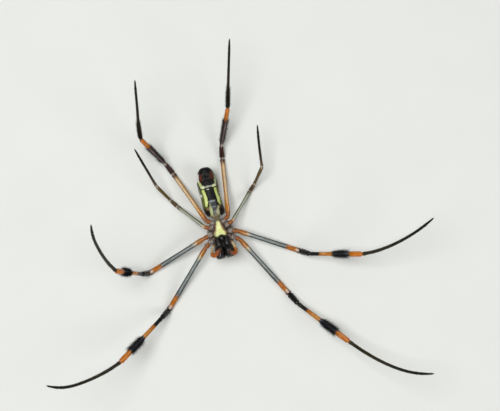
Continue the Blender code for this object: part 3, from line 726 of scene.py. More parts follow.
for name, corners in PALP_POINTS.items():
    route = []
    sizes = []
    for step in range(91):
        share = step / 90
        route.append(Vector([blend([corner[axis] for corner in corners], share) for axis in range(3)]))
        size = blend((0.95, 1.06, 1.12, 1.48, 1.62, 0.95), share)
        for joint in PALP_JOINTS:
            size *= 1.0 - 0.30 * bell(share - joint, 0.012) + 0.10 * bell(abs(share - joint) - 0.035, 0.022)
        size *= math.sqrt(max(0.02, 1.0 - max(0.0, (share - 0.93) / 0.07) ** 2.0))
        sizes.append(PALP_RADIUS * size)
    palp_mesh = limb_mesh(name, route, sizes, 24)
    length = max(value.value for value in palp_mesh.attributes["station"].data)
    shares = [value.value / length for value in palp_mesh.attributes["station"].data]
    mark(palp_mesh, "share", "FLOAT", shares)
    palp = fit(name + "_skin", palp_mesh, palp_finish, "palp", name)
    grow(name + "_hair", palp, dark_hair, "palp", 26.0, 0.42, 0.032, stand=0.55, spread=0.3,
         hair=[0.35 + 0.9 * share for share in shares])


# Eight simple eyes in two rows on the forehead: glossy black lenses, each set
# in a low collar of the carapace's cuticle.
EYE_RADIUS = 0.24
EYE_ROWS = (("front", 2.75, (0.30, 1.05)), ("back", 1.95, (0.42, 1.35)))


def forehead(x, z):
    """How far forward the carapace reaches at this place across and up."""
    near = 0.5
    far = 1.0
    for step in range(30):
        share = 0.5 * (near + far)
        edge = (2.0 * math.sqrt(share * (1.0 - share))) ** 0.45
        across = x / (blend(CARAPACE_HALF_WIDTH, share) * edge)
        upward = (z - blend(CARAPACE_CENTRE_Z, share)) / (blend(CARAPACE_HALF_HEIGHT, share) * edge)
        if across ** 2 + upward ** 2 < 1.0:
            near = share
        else:
            far = share
    return CARAPACE_REAR_Y + (CARAPACE_FRONT_Y - CARAPACE_REAR_Y) * near


eye_finish = Finish("eye_lens", Coat_Weight=1.0, Coat_Roughness=0.03, Roughness=0.12)
eye_finish.feed("Base Color", eye_finish.mix((0.003, 0.003, 0.004), (0.030, 0.016, 0.008), eye_finish.noise(3.0)))
lenses, collars = [], []
for row_name, row_z, distances in EYE_ROWS:
    for distance in distances:
        for sign in (-1.0, 1.0):
            eye = Vector((sign * distance, forehead(distance, row_z) - 0.16, row_z))

            def lens_point(along, around):
                edge = math.sin(math.pi * along)
                deep = -0.75 * math.cos(math.pi * along)
                return eye + Vector((edge * math.cos(around), -deep, edge * math.sin(around))) * EYE_RADIUS

            def collar_point(along, around):
                reach = 1.65 * min(1.0, math.sin(math.pi * along) ** 0.5)
                deep = 0.45 * math.cos(math.pi * along)
                return eye + Vector((reach * math.cos(around), 0.75 + deep, reach * math.sin(around))) * EYE_RADIUS

            lenses.append(ring_mesh("lens", 16, 24, lens_point))
            collars.append(ring_mesh("collar", 14, 24, collar_point))
eye_nodes = ["eye_" + row + "_" + place + "_" + side
             for row in ("front", "back") for place in ("middle", "side") for side in ("left", "right")]
fit("eyes", merged("eyes", lenses), eye_finish, "eye", *eye_nodes)
fit("eye_collars", merged("eye_collars", collars), cuticle, "carapace")


# The waist, a short stalk of soft tan skin, creased across, that widens into
# the front of the abdomen.
waist_finish = Finish("waist_skin", Coat_Weight=0.1, Coat_Roughness=0.4)
waist_tone = waist_finish.mix((0.16, 0.12, 0.055), (0.36, 0.30, 0.17), waist_finish.noise(2.0, 3.0).ramp(0.3, 0.65))
waist_finish.feed("Base Color", waist_tone)
waist_finish.feed("Roughness", 0.45 + 0.2 * waist_finish.noise(4.0))
waist_finish.bump(waist_finish.noise(9.0, 3.0), 0.04)
waist_route = [Vector((-0.02 * step / 4, -1.0 + 0.05 * step, 3.70 + 0.012 * step)) for step in range(44)]
waist_sizes = []
for step in range(44):
    flare = max(0.0, (step - 16) / 27)
    waist_sizes.append(0.52 + 0.020 * math.cos(step * 1.1) + 0.95 * flare ** 1.3)
waist_mesh = limb_mesh("waist", waist_route, waist_sizes, 32,
                       shape=lambda far, around: 1.0 + 0.16 * max(0.0, far - 0.9) * abs(math.sin(around)))
waist = fit("waist", waist_mesh, waist_finish, "carapace", "pedicel")
grow("waist_hair", waist, silver, "carapace", 20.0, 0.34, 0.035, stand=0.4, spread=0.3)


# The abdomen, a long blunt cylinder of soft skin. Its underside is black with
# two yellow stripes, a cream bar, blue-grey marks and the two raised covers of
# the book lungs; its back is olive-brown with pairs of pale spots.
ABDOMEN_FRONT_Y = 0.55
ABDOMEN_REAR_Y = 13.18
ABDOMEN_CENTRE_X = (0.0, -0.40, -0.50, -0.55, -0.45, -0.40)
ABDOMEN_HALF_WIDTH = (3.57, 2.82, 2.45, 2.57, 2.69, 2.47)
ABDOMEN_CENTRE_Z = (3.70, 3.00, 3.05, 3.30, 3.90, 4.60)
ABDOMEN_HALF_HEIGHT = (2.70, 3.35, 3.15, 2.95, 2.80, 2.30)
BOOK_LUNGS = ((-2.10, 1.75), (1.40, 1.65))


def abdomen_point(along, around):
    share = 0.5 - 0.5 * math.cos(math.pi * along)
    edge = abs(math.sin(math.pi * along)) ** (0.5 if along < 0.5 else 0.60)
    y = ABDOMEN_FRONT_Y + (ABDOMEN_REAR_Y - ABDOMEN_FRONT_Y) * share
    x = blend(ABDOMEN_CENTRE_X, share) + blend(ABDOMEN_HALF_WIDTH, share) * edge * math.cos(around)
    rise = math.sin(around)
    z = blend(ABDOMEN_CENTRE_Z, share) + blend(ABDOMEN_HALF_HEIGHT, share) * edge * rise
    belly = max(0.0, rise)
    covers = 0.0
    for lung_x, lung_y in BOOK_LUNGS:
        far = math.hypot((x - lung_x) / 0.80, (y - lung_y) / 0.98)
        covers += 0.24 * (1.0 - min(1.0, far) ** 4) - 0.10 * bell(far - 1.08, 0.12)
    furrow = 0.17 * bell(y - 3.55 + 0.10 * (x + 0.3) ** 2, 0.13) * bell(x + 0.35, 2.1)
    ridge = 0.05 * bell(y - 3.85, 0.25) * bell(x + 0.35, 1.9)
    folds = 0.022 * math.sin(4.2 * y + 0.8 * math.sin(1.3 * x)) * bell(abs(rise) - 0.35, 0.45)
    pits = 0.0
    for pit_y, pit_x in ((2.6, 0.75), (4.6, 0.85), (6.4, 0.80), (8.0, 0.70)):
        pits += 0.16 * bell(abs(x + 0.45) - pit_x, 0.14) * bell(y - pit_y, 0.16) * max(0.0, -rise)
    z += belly * (covers - furrow + ridge) + folds * rise + pits
    return x + folds * math.cos(around), y, z


def abdomen_tone(finish):
    """The abdomen's colours, which its skin and its hair share."""
    x, y, z = finish.axes()
    x = x + 0.34 * (finish.noise(1.5, 3.0) - 0.5) + 0.22 * (finish.noise(6.0, 3.0) - 0.5)
    shifted = finish.node("ShaderNodeVectorMath", {"operation": "ADD"}, (finish.place, (7.0, 3.0, 5.0)))
    y = y + 0.40 * (finish.noise(1.7, 3.0, shifted) - 0.5) + 0.24 * (finish.noise(5.5, 3.0, shifted) - 0.5)

    def spot(middle_x, middle_y, half_x, half_y, soft=0.35):
        across = (x - middle_x) * (1.0 / half_x)
        up = (y - middle_y) * (1.0 / half_y)
        return (across * across + up * up).ramp(1.0 + soft, 1.0 - soft)

    def streak(*course, soft=0.11):
        """A long mark: at each y its middle, half width and strength."""
        low, high = course[0][0], course[-1][0]
        stops = [((far - low) / (high - low), ((middle + 4.0) / 8.0, half, strength))
                 for far, middle, half, strength in course]
        run = finish.node("ShaderNodeMapRange", None, (y, low, high, 0.0, 1.0))
        found = finish.node("ShaderNodeValToRGB", {"stops": stops}, (run,))
        split = finish.node("ShaderNodeSeparateColor", None, (found,)).socket.node
        middle, half, strength = [Wire(finish, socket) for socket in split.outputs]
        within = y.ramp(low - 0.12, low + 0.12) * y.ramp(high + 0.12, high - 0.12)
        return (half - abs(x - (middle * 8.0 - 4.0))).ramp(-soft, soft) * strength * within

    tone = finish.mix((0.004, 0.004, 0.003), (0.020, 0.018, 0.008), finish.noise(1.1, 3.0).ramp(0.38, 0.75))
    marks = (
        ((0.13, 0.15, 0.022), streak((2.9, -2.5, 0.30, 0.5), (4.4, -2.45, 0.60, 1.0), (6.0, -2.5, 0.45, 0.8),
                                     (8.2, -2.5, 0.35, 0.4))),
        ((0.10, 0.115, 0.020), streak((2.9, 1.9, 0.35, 0.6), (5.0, 1.95, 0.40, 1.0), (8.0, 1.9, 0.35, 0.6))),
        ((0.30, 0.25, 0.13), spot(-0.6, 0.45, 1.7, 0.62)),
        ((0.21, 0.135, 0.055), spot(-1.68, 2.85, 0.55, 0.42)),
        ((0.20, 0.145, 0.055), spot(1.15, 2.9, 0.35, 0.40) * 0.7),
        ((0.17, 0.17, 0.15), streak((0.8, -0.15, 0.40, 1.0), (2.3, -0.10, 0.34, 1.0))),
        ((0.44, 0.48, 0.24), streak((0.8, -1.12, 0.34, 1.0), (1.7, -1.02, 0.42, 1.0), (2.5, -0.95, 0.34, 1.0),
                                    (3.3, -0.98, 0.26, 0.75), (4.2, -1.0, 0.16, 0.35))),
        ((0.44, 0.42, 0.25), streak((0.7, 0.62, 0.26, 0.9), (1.6, 0.56, 0.40, 1.0), (2.2, 0.62, 0.32, 0.8),
                                    (2.7, 0.85, 0.25, 0.75), (3.3, 0.95, 0.20, 0.4))),
        ((0.008, 0.005, 0.004), spot(-2.22, 1.62, 0.82, 0.92, 0.2)),
        ((0.008, 0.005, 0.004), spot(1.55, 1.52, 0.66, 0.85, 0.2)),
        ((0.058, 0.062, 0.072), streak((2.2, 0.0, 0.40, 0.8), (3.2, 0.0, 0.55, 1.0), (4.4, -0.15, 0.75, 1.0))),
        ((0.22, 0.26, 0.25), spot(-0.35, 4.58, 0.90, 0.24)),
        ((0.005, 0.005, 0.004), streak((4.85, -0.15, 1.10, 1.0), (7.4, -0.15, 1.05, 1.0), (8.1, -0.35, 1.2, 1.0))),
        ((0.68, 0.77, 0.24), streak((3.45, -1.98, 0.27, 0.9), (4.2, -1.80, 0.40, 1.0), (5.0, -1.66, 0.37, 1.0),
                                    (6.0, -1.72, 0.38, 1.0), (7.0, -1.86, 0.34, 0.9), (7.7, -1.9, 0.32, 0.9))),
        ((0.58, 0.67, 0.19), streak((3.35, 1.60, 0.20, 0.9), (4.0, 1.40, 0.29, 1.0), (5.0, 1.42, 0.36, 1.0),
                                    (6.0, 1.24, 0.28, 1.0), (7.0, 1.18, 0.28, 0.9), (7.7, 1.15, 0.34, 0.9))),
        ((0.80, 0.86, 0.46), streak((3.9, -1.82, 0.12, 0.5), (5.0, -1.68, 0.17, 0.8), (6.6, -1.78, 0.12, 0.5))),
        ((0.72, 0.79, 0.38), streak((4.2, 1.36, 0.10, 0.4), (5.0, 1.38, 0.13, 0.7), (6.6, 1.20, 0.10, 0.5))),
        ((0.030, 0.034, 0.008), spot(-1.25, 7.75, 0.35, 0.25)),
        ((0.030, 0.034, 0.008), spot(0.62, 7.85, 0.38, 0.25)),
        ((0.33, 0.36, 0.27), spot(-0.35, 8.32, 1.50, 0.22)),
        ((0.66, 0.72, 0.42), spot(-1.85, 8.38, 0.55, 0.42)),
        ((0.66, 0.72, 0.42), spot(1.14, 8.30, 0.55, 0.34)),
        ((0.42, 0.44, 0.32), spot(-0.62, 7.62, 0.38, 0.17)),
        ((0.52, 0.58, 0.24), streak((8.5, -2.10, 0.30, 1.0), (9.6, -2.42, 0.30, 1.0), (10.4, -2.62, 0.26, 0.6))),
        ((0.84, 0.84, 0.74), streak((9.8, -2.66, 0.26, 0.7), (10.8, -2.66, 0.36, 1.0), (11.8, -2.35, 0.28, 0.8))),
        ((0.40, 0.44, 0.25), streak((8.4, 1.42, 0.24, 1.0), (9.6, 1.68, 0.24, 1.0), (10.6, 1.78, 0.22, 0.7),
                                    (11.8, 1.6, 0.18, 0.4))),
        ((0.003, 0.003, 0.003), spot(-0.38, 11.10, 1.66, 2.55, 0.16)),
        ((0.130, 0.018, 0.008), spot(-1.66, 10.80, 0.50, 0.85, 0.85)),
        ((0.085, 0.018, 0.008), spot(0.95, 10.90, 0.42, 0.95, 0.85)),
        ((0.70, 0.72, 0.64), spot(-2.74, 6.35, 0.34, 0.38)),
        ((0.30, 0.32, 0.27), streak((6.9, -2.98, 0.22, 0.9), (8.9, -2.95, 0.22, 0.7))),
        # A painted glint on the right flank.
        ((0.60, 0.62, 0.54), spot(2.02, 6.2, 0.22, 0.30)),
    )
    for colour, share in marks:
        tone = finish.mix(tone, colour, share)

    # The flanks and the back: olive-brown with pale spots in pairs.
    side_x = abs(finish.axes()[0] + 0.45)
    olive = finish.mix((0.060, 0.050, 0.014), (0.23, 0.17, 0.055), finish.noise(0.9, 4.0).ramp(0.35, 0.68))
    row = finish.node("ShaderNodeMath", {"operation": "FRACT"}, (y * 0.62,))
    pale_row = (side_x - 1.25) * (side_x - 1.25) * 3.0 + (row - 0.5) * (row - 0.5) * 9.0 + 0.9 * (finish.noise(2.6, 4.0) - 0.5)
    olive = finish.mix(olive, (0.54, 0.50, 0.26), pale_row.ramp(0.80, 0.25))
    dots = finish.node("ShaderNodeTexVoronoi", None, {"Vector": finish.place, "Scale": 1.15})
    olive = finish.mix(olive, (0.50, 0.50, 0.34), dots.ramp(0.30, 0.20) * z.ramp(1.2, 2.2))
    band = y.ramp(1.9, 1.4) * z.ramp(3.8, 3.0)
    olive = finish.mix(olive, (0.52, 0.50, 0.36), band)
    olive = finish.mix(olive, (0.012, 0.010, 0.008), y.ramp(10.6, 12.2) * 0.9)
    return finish.mix(olive, tone, finish.axes()[2].ramp(2.5, 3.7))


abdomen_skin = Finish("abdomen_skin", Coat_Weight=0.05, Coat_Roughness=0.2, Specular_IOR_Level=0.18)
abdomen_skin.feed("Base Color", abdomen_tone(abdomen_skin))
wrinkles = abdomen_skin.noise(3.5, 4.0) + 0.5 * abdomen_skin.noise(14.0, 2.0)
cells = abdomen_skin.node("ShaderNodeTexVoronoi", None, {"Vector": abdomen_skin.place, "Scale": 6.0})
abdomen_skin.bump(wrinkles + 0.4 * cells, 0.05)
abdomen_skin.feed("Roughness", 0.33 + 0.25 * abdomen_skin.noise(2.0, 2.0))
abdomen_mesh = ring_mesh("abdomen", 150, 128, abdomen_point, hair=lambda spot: 1.0 if spot[2] > 0.3 else 0.0)
abdomen = fit("abdomen_skin", abdomen_mesh, abdomen_skin, "abdomen", "abdomen")

abdomen_hair = Finish("abdomen_hair", Roughness=0.5, Specular_IOR_Level=0.25)
abdomen_hair.feed("Base Color", abdomen_hair.mix(abdomen_tone(abdomen_hair), (0.30, 0.28, 0.22), abdomen_hair.noise(5.0).ramp(0.5, 0.7) * 0.07))
grow("abdomen_hair", abdomen, abdomen_hair, "abdomen", 16.0, 0.36, 0.028, stand=0.45, spread=0.25)


# The spinnerets, six short jointed cones that close to a rosette on the rear
# of the belly, with the small knob of the vent behind them.
SPINNERET_CENTRE = (-0.50, 10.70)


def belly_height(x, y):
    """Height of the abdomen's underside, which faces up, at this place."""
    share = (y - ABDOMEN_FRONT_Y) / (ABDOMEN_REAR_Y - ABDOMEN_FRONT_Y)
    edge = (2.0 * math.sqrt(share * (1.0 - share))) ** (0.5 if share < 0.5 else 0.60)
    across = (x - blend(ABDOMEN_CENTRE_X, share)) / (blend(ABDOMEN_HALF_WIDTH, share) * edge)
    rise = blend(ABDOMEN_HALF_HEIGHT, share) * edge * math.sqrt(max(0.0, 1.0 - across * across))
    return blend(ABDOMEN_CENTRE_Z, share) + rise


spin_x, spin_y = SPINNERET_CENTRE
spin_z = belly_height(spin_x, spin_y) + 0.15


def spinneret_mound(along, around):
    edge = math.sin(math.pi * along)
    lift = -math.cos(math.pi * along)
    fold = 1.0 + 0.03 * math.cos(9.0 * around)
    x = spin_x + 1.08 * edge * math.cos(around) * fold
    y = spin_y + 1.28 * edge * math.sin(around) * fold
    return x, y, spin_z - 0.15 + 0.62 * lift


spinnerets = [ring_mesh("mound", 28, 54, spinneret_mound, lie=(0.0, 0.0, 1.0), hair=lambda spot: 0.3)]
for offset_y, offset_x, radius, length, lean in ((-0.60, 0.44, 0.42, 1.05, 0.38), (0.05, 0.26, 0.24, 0.85, 0.05),
                                                 (0.66, 0.44, 0.40, 1.10, -0.22)):
    for sign in (-1.0, 1.0):
        root = Vector((spin_x + sign * offset_x, spin_y + offset_y, spin_z + 0.02))
        tip = root + Vector((sign * -0.20, lean, length + 0.12))
        route = [root.lerp(tip, step / 26) for step in range(27)]
        sizes = []
        for step in range(27):
            share = step / 26
            size = radius * (1.04 - 0.20 * share ** 2) * (1.0 - 0.20 * bell(share - 0.62, 0.035))
            sizes.append(size * math.sqrt(max(0.03, 1.0 - max(0.0, (share - 0.72) / 0.28) ** 2)))
        spinnerets.append(limb_mesh("spinneret", route, sizes, 20))
vent = Vector((spin_x, spin_y + 1.30, belly_height(spin_x, spin_y + 1.30) - 0.05))
vent_route = [vent + Vector((0.0, 0.018 * step, 0.028 * step)) for step in range(16)]
vent_sizes = [0.36 * math.sqrt(max(0.02, 1.0 - (step / 15) ** 2)) for step in range(16)]
spinnerets.append(limb_mesh("vent", vent_route, vent_sizes, 20))
spinning = fit("spinneret_group", merged("spinneret_group", spinnerets), black, "black_cuticle", "spinnerets")
grow("spinneret_hair", spinning, dark_hair, "black_cuticle", 26.0, 0.34, 0.030, stand=0.5, spread=0.4)


# The epigyne, a small hard blue-grey plate just before the belly's furrow,
# split by two shallow slots.
epigyne_x, epigyne_y = -0.12, 3.00
epigyne_z = belly_height(epigyne_x, epigyne_y) + 0.05


def epigyne_point(along, around):
    edge = abs(math.sin(math.pi * along)) ** 0.7
    x = 0.62 * edge * math.cos(around)
    y = 0.48 * edge * math.sin(around)
    z = -0.40 * math.cos(math.pi * along)
    slots = 0.11 * bell(abs(x) - 0.24, 0.09) * bell(y + 0.06, 0.20) * max(0.0, z / 0.4)
    notch = 0.08 * bell(x, 0.10) * bell(y - 0.30, 0.18) * max(0.0, z / 0.4)
    return epigyne_x + x, epigyne_y + y, epigyne_z + z - slots - notch


slate = Finish("epigyne_plate", Coat_Weight=0.4, Coat_Roughness=0.2)
slate_tone = slate.mix((0.045, 0.048, 0.056), (0.13, 0.14, 0.15), slate.noise(2.4, 3.0).ramp(0.35, 0.65))
slate.feed("Base Color", slate_tone)
slate.bump(slate.noise(12.0, 3.0), 0.02)
slate.feed("Roughness", 0.3 + 0.2 * slate.noise(5.0))
epigyne_mesh = ring_mesh("epigyne", 30, 40, epigyne_point)
fit("epigyne_plate", epigyne_mesh, slate, "epigyne", "epigyne")


# The legs. Each is one jointed skin from the body to the claws: stout coxa,
# short trochanter, long thigh, knee, shin, long foot and its last joint. The
# first two pairs are slate with orange bands and black brushes, the third is
# olive, and the fourth is orange with a long thin brush.
SEGMENT_LENGTHS = {
    1: (19.25, 4.00, 16.25, 20.25, 3.75),
    2: (17.40, 3.75, 13.75, 17.75, 3.50),
    3: (9.90, 2.50, 6.20, 8.50, 2.50),
    4: (15.30, 3.50, 11.25, 16.00, 3.25),
}
SEGMENT_RADII = {
    1: (0.70, 0.55, 0.50, 0.57, 0.62, 0.46, 0.57, 0.41, 0.33, 0.20),
    2: (0.70, 0.55, 0.50, 0.56, 0.60, 0.44, 0.56, 0.40, 0.32, 0.20),
    3: (0.60, 0.46, 0.38, 0.42, 0.44, 0.36, 0.38, 0.31, 0.27, 0.18),
    4: (0.68, 0.54, 0.48, 0.53, 0.56, 0.44, 0.49, 0.36, 0.28, 0.18),
}
KNEE_Z = 0.54
HIP_POINTS = {
    1: ((2.05, -4.70, 5.35), (3.40, -5.72, 5.25), (4.35, -6.35, 5.00)),
    2: ((2.22, -3.48, 5.40), (3.20, -3.85, 5.35), (4.20, -4.10, 5.10)),
    3: ((1.86, -2.02, 5.40), (2.60, -1.78, 5.35), (3.50, -1.50, 5.10)),
    4: ((1.24, -0.92, 5.40), (1.95, -0.45, 5.30), (2.80, 0.00, 5.00)),
}
POSE = {
    "leg_1_left": {"femur": -133.8, "patella": (-145.5, 54.7), "tibia": (-146.3, 27.8),
                   "foot": (-158.0, -169.0, -181.0, -213.0), "foot_rise": 42.5},
    "leg_1_right": {"femur": -61.0, "patella": (-60.7, 39.1), "tibia": (-49.1, 19.3),
                    "foot": (-48.0, -41.0, -28.5, -8.0), "foot_rise": 24.0},
    "leg_2_left": {"femur": -160.7, "patella": (167.0, 63.6), "tibia": (155.1, 65.9),
                   "foot": (120.0, 106.5, 95.0, 75.0), "foot_rise": 53.5},
    "leg_2_right": {"femur": -31.1, "patella": (-27.7, 51.3), "tibia": (-12.7, 22.0),
                    "foot": (-3.0, 10.5, 20.5, 30.0), "foot_rise": 24.0},
    "leg_3_left": {"femur": 130.5, "patella": (124.0, 22.0), "tibia": (121.0, 40.0),
                   "foot": (108.0, 107.0, 107.0, 106.0), "foot_rise": 15.0},
    "leg_3_right": {"femur": 46.8, "patella": (45.0, 40.0), "tibia": (52.0, 40.0),
                    "foot": (86.0, 84.5, 83.0, 81.0), "foot_rise": 21.0},
    "leg_4_left": {"femur": 112.5, "patella": (114.6, 30.6), "tibia": (121.2, 42.9),
                   "foot": (88.0, 78.0, 79.5, 78.0), "foot_rise": 44.5},
    "leg_4_right": {"femur": 83.1, "patella": (81.5, 27.5), "tibia": (66.2, 35.1),
                    "foot": (76.0, 75.0, 75.0, 75.0), "foot_rise": 32.0},
}
PARTS = ("hip", "femur", "patella", "tibia", "foot", "tarsus")
HIP_LENGTH = 3.2

ORANGE = (0.50, 0.178, 0.013)
DEEP_ORANGE = (0.43, 0.127, 0.007)
VIVID = (0.55, 0.156, 0.005)
ROOT_ORANGE = (0.39, 0.138, 0.011)
ROOT_RUST = (0.32, 0.098, 0.010)
RUST = (0.28, 0.085, 0.012)
TAN = (0.43, 0.210, 0.052)
SLATE = (0.040, 0.052, 0.046)
DARK_SLATE = (0.030, 0.038, 0.036)
SOOT = (0.006, 0.006, 0.005)
UMBER = (0.036, 0.012, 0.009)
OLIVE = (0.118, 0.142, 0.070)
# Pale joint skin; on the knees and ankles of the third and fourth pairs it is partly a painted glint.
PALE_JOINT_AND_GLINT = (0.15, 0.10, 0.055)
SHAFT = (0.014, 0.017, 0.023)
FOOT_BROWN = (0.028, 0.022, 0.008)
BISTRE = (0.070, 0.042, 0.014)
CHESTNUT = (0.058, 0.027, 0.014)

LEG_TONES = {
    1: (("hip", 0.0, CHESTNUT), ("hip", 0.52, CHESTNUT), ("hip", 0.64, RUST), ("hip", 0.98, RUST),
        ("femur", 0.02, ROOT_RUST), ("femur", 0.12, ROOT_ORANGE), ("femur", 0.165, (0.22, 0.17, 0.08)), ("femur", 0.21, SLATE), ("femur", 0.45, SLATE),
        ("femur", 0.75, DARK_SLATE), ("femur", 0.79, DEEP_ORANGE), ("femur", 0.90, DEEP_ORANGE),
        # The pale stop at 0.935 of the thigh is a painted glint on the knee.
        ("femur", 0.935, (0.30, 0.17, 0.10)), ("femur", 0.97, UMBER), ("patella", 0.08, SOOT),
        ("patella", 0.92, SOOT), ("tibia", 0.16, SOOT), ("tibia", 0.19, DEEP_ORANGE), ("tibia", 0.30, ORANGE),
        ("tibia", 0.41, ORANGE), ("tibia", 0.44, SHAFT), ("tibia", 0.74, SHAFT), ("tibia", 0.77, DEEP_ORANGE),
        ("tibia", 0.84, VIVID), ("tibia", 0.98, VIVID), ("foot", 0.02, FOOT_BROWN), ("foot", 0.45, FOOT_BROWN),
        ("foot", 0.98, SOOT), ("tarsus", 1.0, SOOT)),
    3: (("hip", 0.0, CHESTNUT), ("hip", 0.48, CHESTNUT), ("hip", 0.60, RUST), ("hip", 0.98, RUST), ("femur", 0.03, TAN),
        ("femur", 0.10, OLIVE), ("femur", 0.80, OLIVE), ("femur", 0.95, BISTRE), ("patella", 0.0, PALE_JOINT_AND_GLINT),
        ("patella", 0.15, BISTRE), ("patella", 0.85, BISTRE), ("tibia", 0.0, PALE_JOINT_AND_GLINT), ("tibia", 0.10, (0.086, 0.060, 0.014)),
        ("tibia", 0.90, (0.110, 0.066, 0.014)), ("tibia", 0.99, PALE_JOINT_AND_GLINT), ("foot", 0.06, (0.085, 0.050, 0.020)),
        ("foot", 0.6, SOOT), ("tarsus", 1.0, SOOT)),
    4: (("hip", 0.0, CHESTNUT), ("hip", 0.48, CHESTNUT), ("hip", 0.60, RUST), ("hip", 0.98, RUST), ("femur", 0.04, RUST),
        ("femur", 0.12, ORANGE), ("femur", 0.45, TAN), ("femur", 0.85, TAN), ("femur", 0.95, UMBER),
        ("patella", 0.0, PALE_JOINT_AND_GLINT), ("patella", 0.12, UMBER), ("patella", 0.88, UMBER), ("tibia", 0.0, PALE_JOINT_AND_GLINT),
        ("tibia", 0.07, (0.050, 0.027, 0.025)), ("tibia", 0.66, (0.064, 0.032, 0.026)), ("tibia", 0.73, DEEP_ORANGE),
        ("tibia", 0.97, VIVID), ("foot", 0.02, FOOT_BROWN), ("foot", 0.4, FOOT_BROWN), ("foot", 0.8, SOOT), ("tarsus", 1.0, SOOT)),
}
LEG_TONES[2] = LEG_TONES[1]


def station_of(number, part, share):
    """How far along a leg this is, in millimetres from where the thigh starts."""
    if part == "hip":
        return HIP_LENGTH * (share - 1.0)
    index = PARTS.index(part) - 1
    return sum(SEGMENT_LENGTHS[number][:index]) + SEGMENT_LENGTHS[number][index] * share


def leg_tone(finish, number):
    """A leg's bands of colour, which its skin and its hair share."""
    station = finish.node("ShaderNodeAttribute", {"attribute_name": "station"}, output="Fac")
    total = station_of(number, "tarsus", 1.0) + HIP_LENGTH
    stops = [((station_of(number, part, share) + HIP_LENGTH) / total, colour)
             for part, share, colour in LEG_TONES[number]]
    ragged = 0.35 * (finish.noise(2.6, 2.0) - 0.5)
    run = (station + ragged + HIP_LENGTH) * (1.0 / total)
    return finish.node("ShaderNodeValToRGB", {"stops": stops}, (run,))


def leg_finish(number):
    finish = Finish("leg_skin_" + str(number), Coat_Weight=0.48, Coat_Roughness=0.10, Coat_IOR=1.34,
                    Specular_IOR_Level=0.16)
    wrap = finish.node("ShaderNodeAttribute", {"attribute_name": "wrap"}, output="Vector")
    long_grain = finish.node("ShaderNodeMapping", None, {"Vector": wrap, "Scale": (2.2, 2.2, 0.35)})
    streaks = finish.noise(1.6, 4.0, long_grain)
    tone = leg_tone(finish, number)
    lighter = finish.node("ShaderNodeHueSaturation", None, {"Saturation": 0.90, "Value": 1.40, "Color": tone})
    darker = finish.node("ShaderNodeHueSaturation", None, {"Value": 0.62, "Color": tone})
    tone = finish.mix(darker, tone, streaks.ramp(0.28, 0.50))
    tone = finish.mix(tone, lighter, streaks.ramp(0.52, 0.75))
    # A painted highlight: towards the belly side, which faces up to the lamps, slate, olive and tan pale to a soft line
    # that stands for the shine of glossy cuticle; orange and black hardly do.
    belly = finish.axes(wrap)[0].ramp(0.76, 1.00)
    blue = Wire(finish, finish.node("ShaderNodeSeparateColor", None, (tone,)).socket.node.outputs[2])
    painted_highlight = finish.node("ShaderNodeGamma", None, (tone, 0.34))
    finish.feed("Base Color", finish.mix(tone, painted_highlight, belly * blue.ramp(0.011, 0.046) * 0.88))
    finish.feed("Roughness", 0.20 + 0.16 * streaks)
    pits = finish.node("ShaderNodeTexVoronoi", None, {"Vector": finish.place, "Scale": 6.0})
    finish.bump(finish.noise(12.0, 2.0) * 0.4 + streaks * 0.7 + pits.ramp(0.0, 0.3) * 0.3, 0.022)
    return finish


def heading(degrees, rise=0.0):
    """Unit vector at this heading seen from above and this rise."""
    turn = math.radians(degrees)
    lift = math.radians(rise)
    return Vector((math.cos(turn) * math.cos(lift), math.sin(turn) * math.cos(lift), math.sin(lift)))


def leg_line(name, number, sign):
    """A leg's corners and how wide each is rounded."""
    lengths = SEGMENT_LENGTHS[number]
    pose = POSE[name]
    coxa, coxa_end, hip = [Vector((sign * x, y, z)) for x, y, z in HIP_POINTS[number]]
    drop = math.degrees(math.asin((hip.z - KNEE_Z) / lengths[0]))
    knee = hip + heading(pose["femur"], -drop) * lengths[0]
    shin = knee + heading(*pose["patella"]) * lengths[1]
    ankle = shin + heading(*pose["tibia"]) * lengths[2]
    root = coxa - (coxa_end - coxa).normalized() * 0.55
    corners = [root, coxa_end, hip, knee, shin, ankle]
    rounds = [0.0, 0.30, 0.40, 0.75, 0.60, 0.45]
    steps = 12 if number != 3 else 8
    foot_length = lengths[3] + lengths[4]
    place = ankle.copy()
    for step in range(steps):
        place = place + heading(blend(pose["foot"], (step + 0.5) / steps), pose["foot_rise"]) * (foot_length / steps)
        corners.append(place)
        rounds.append(0.5 * foot_length / steps)
    rounds[-1] = 0.0
    return corners, rounds


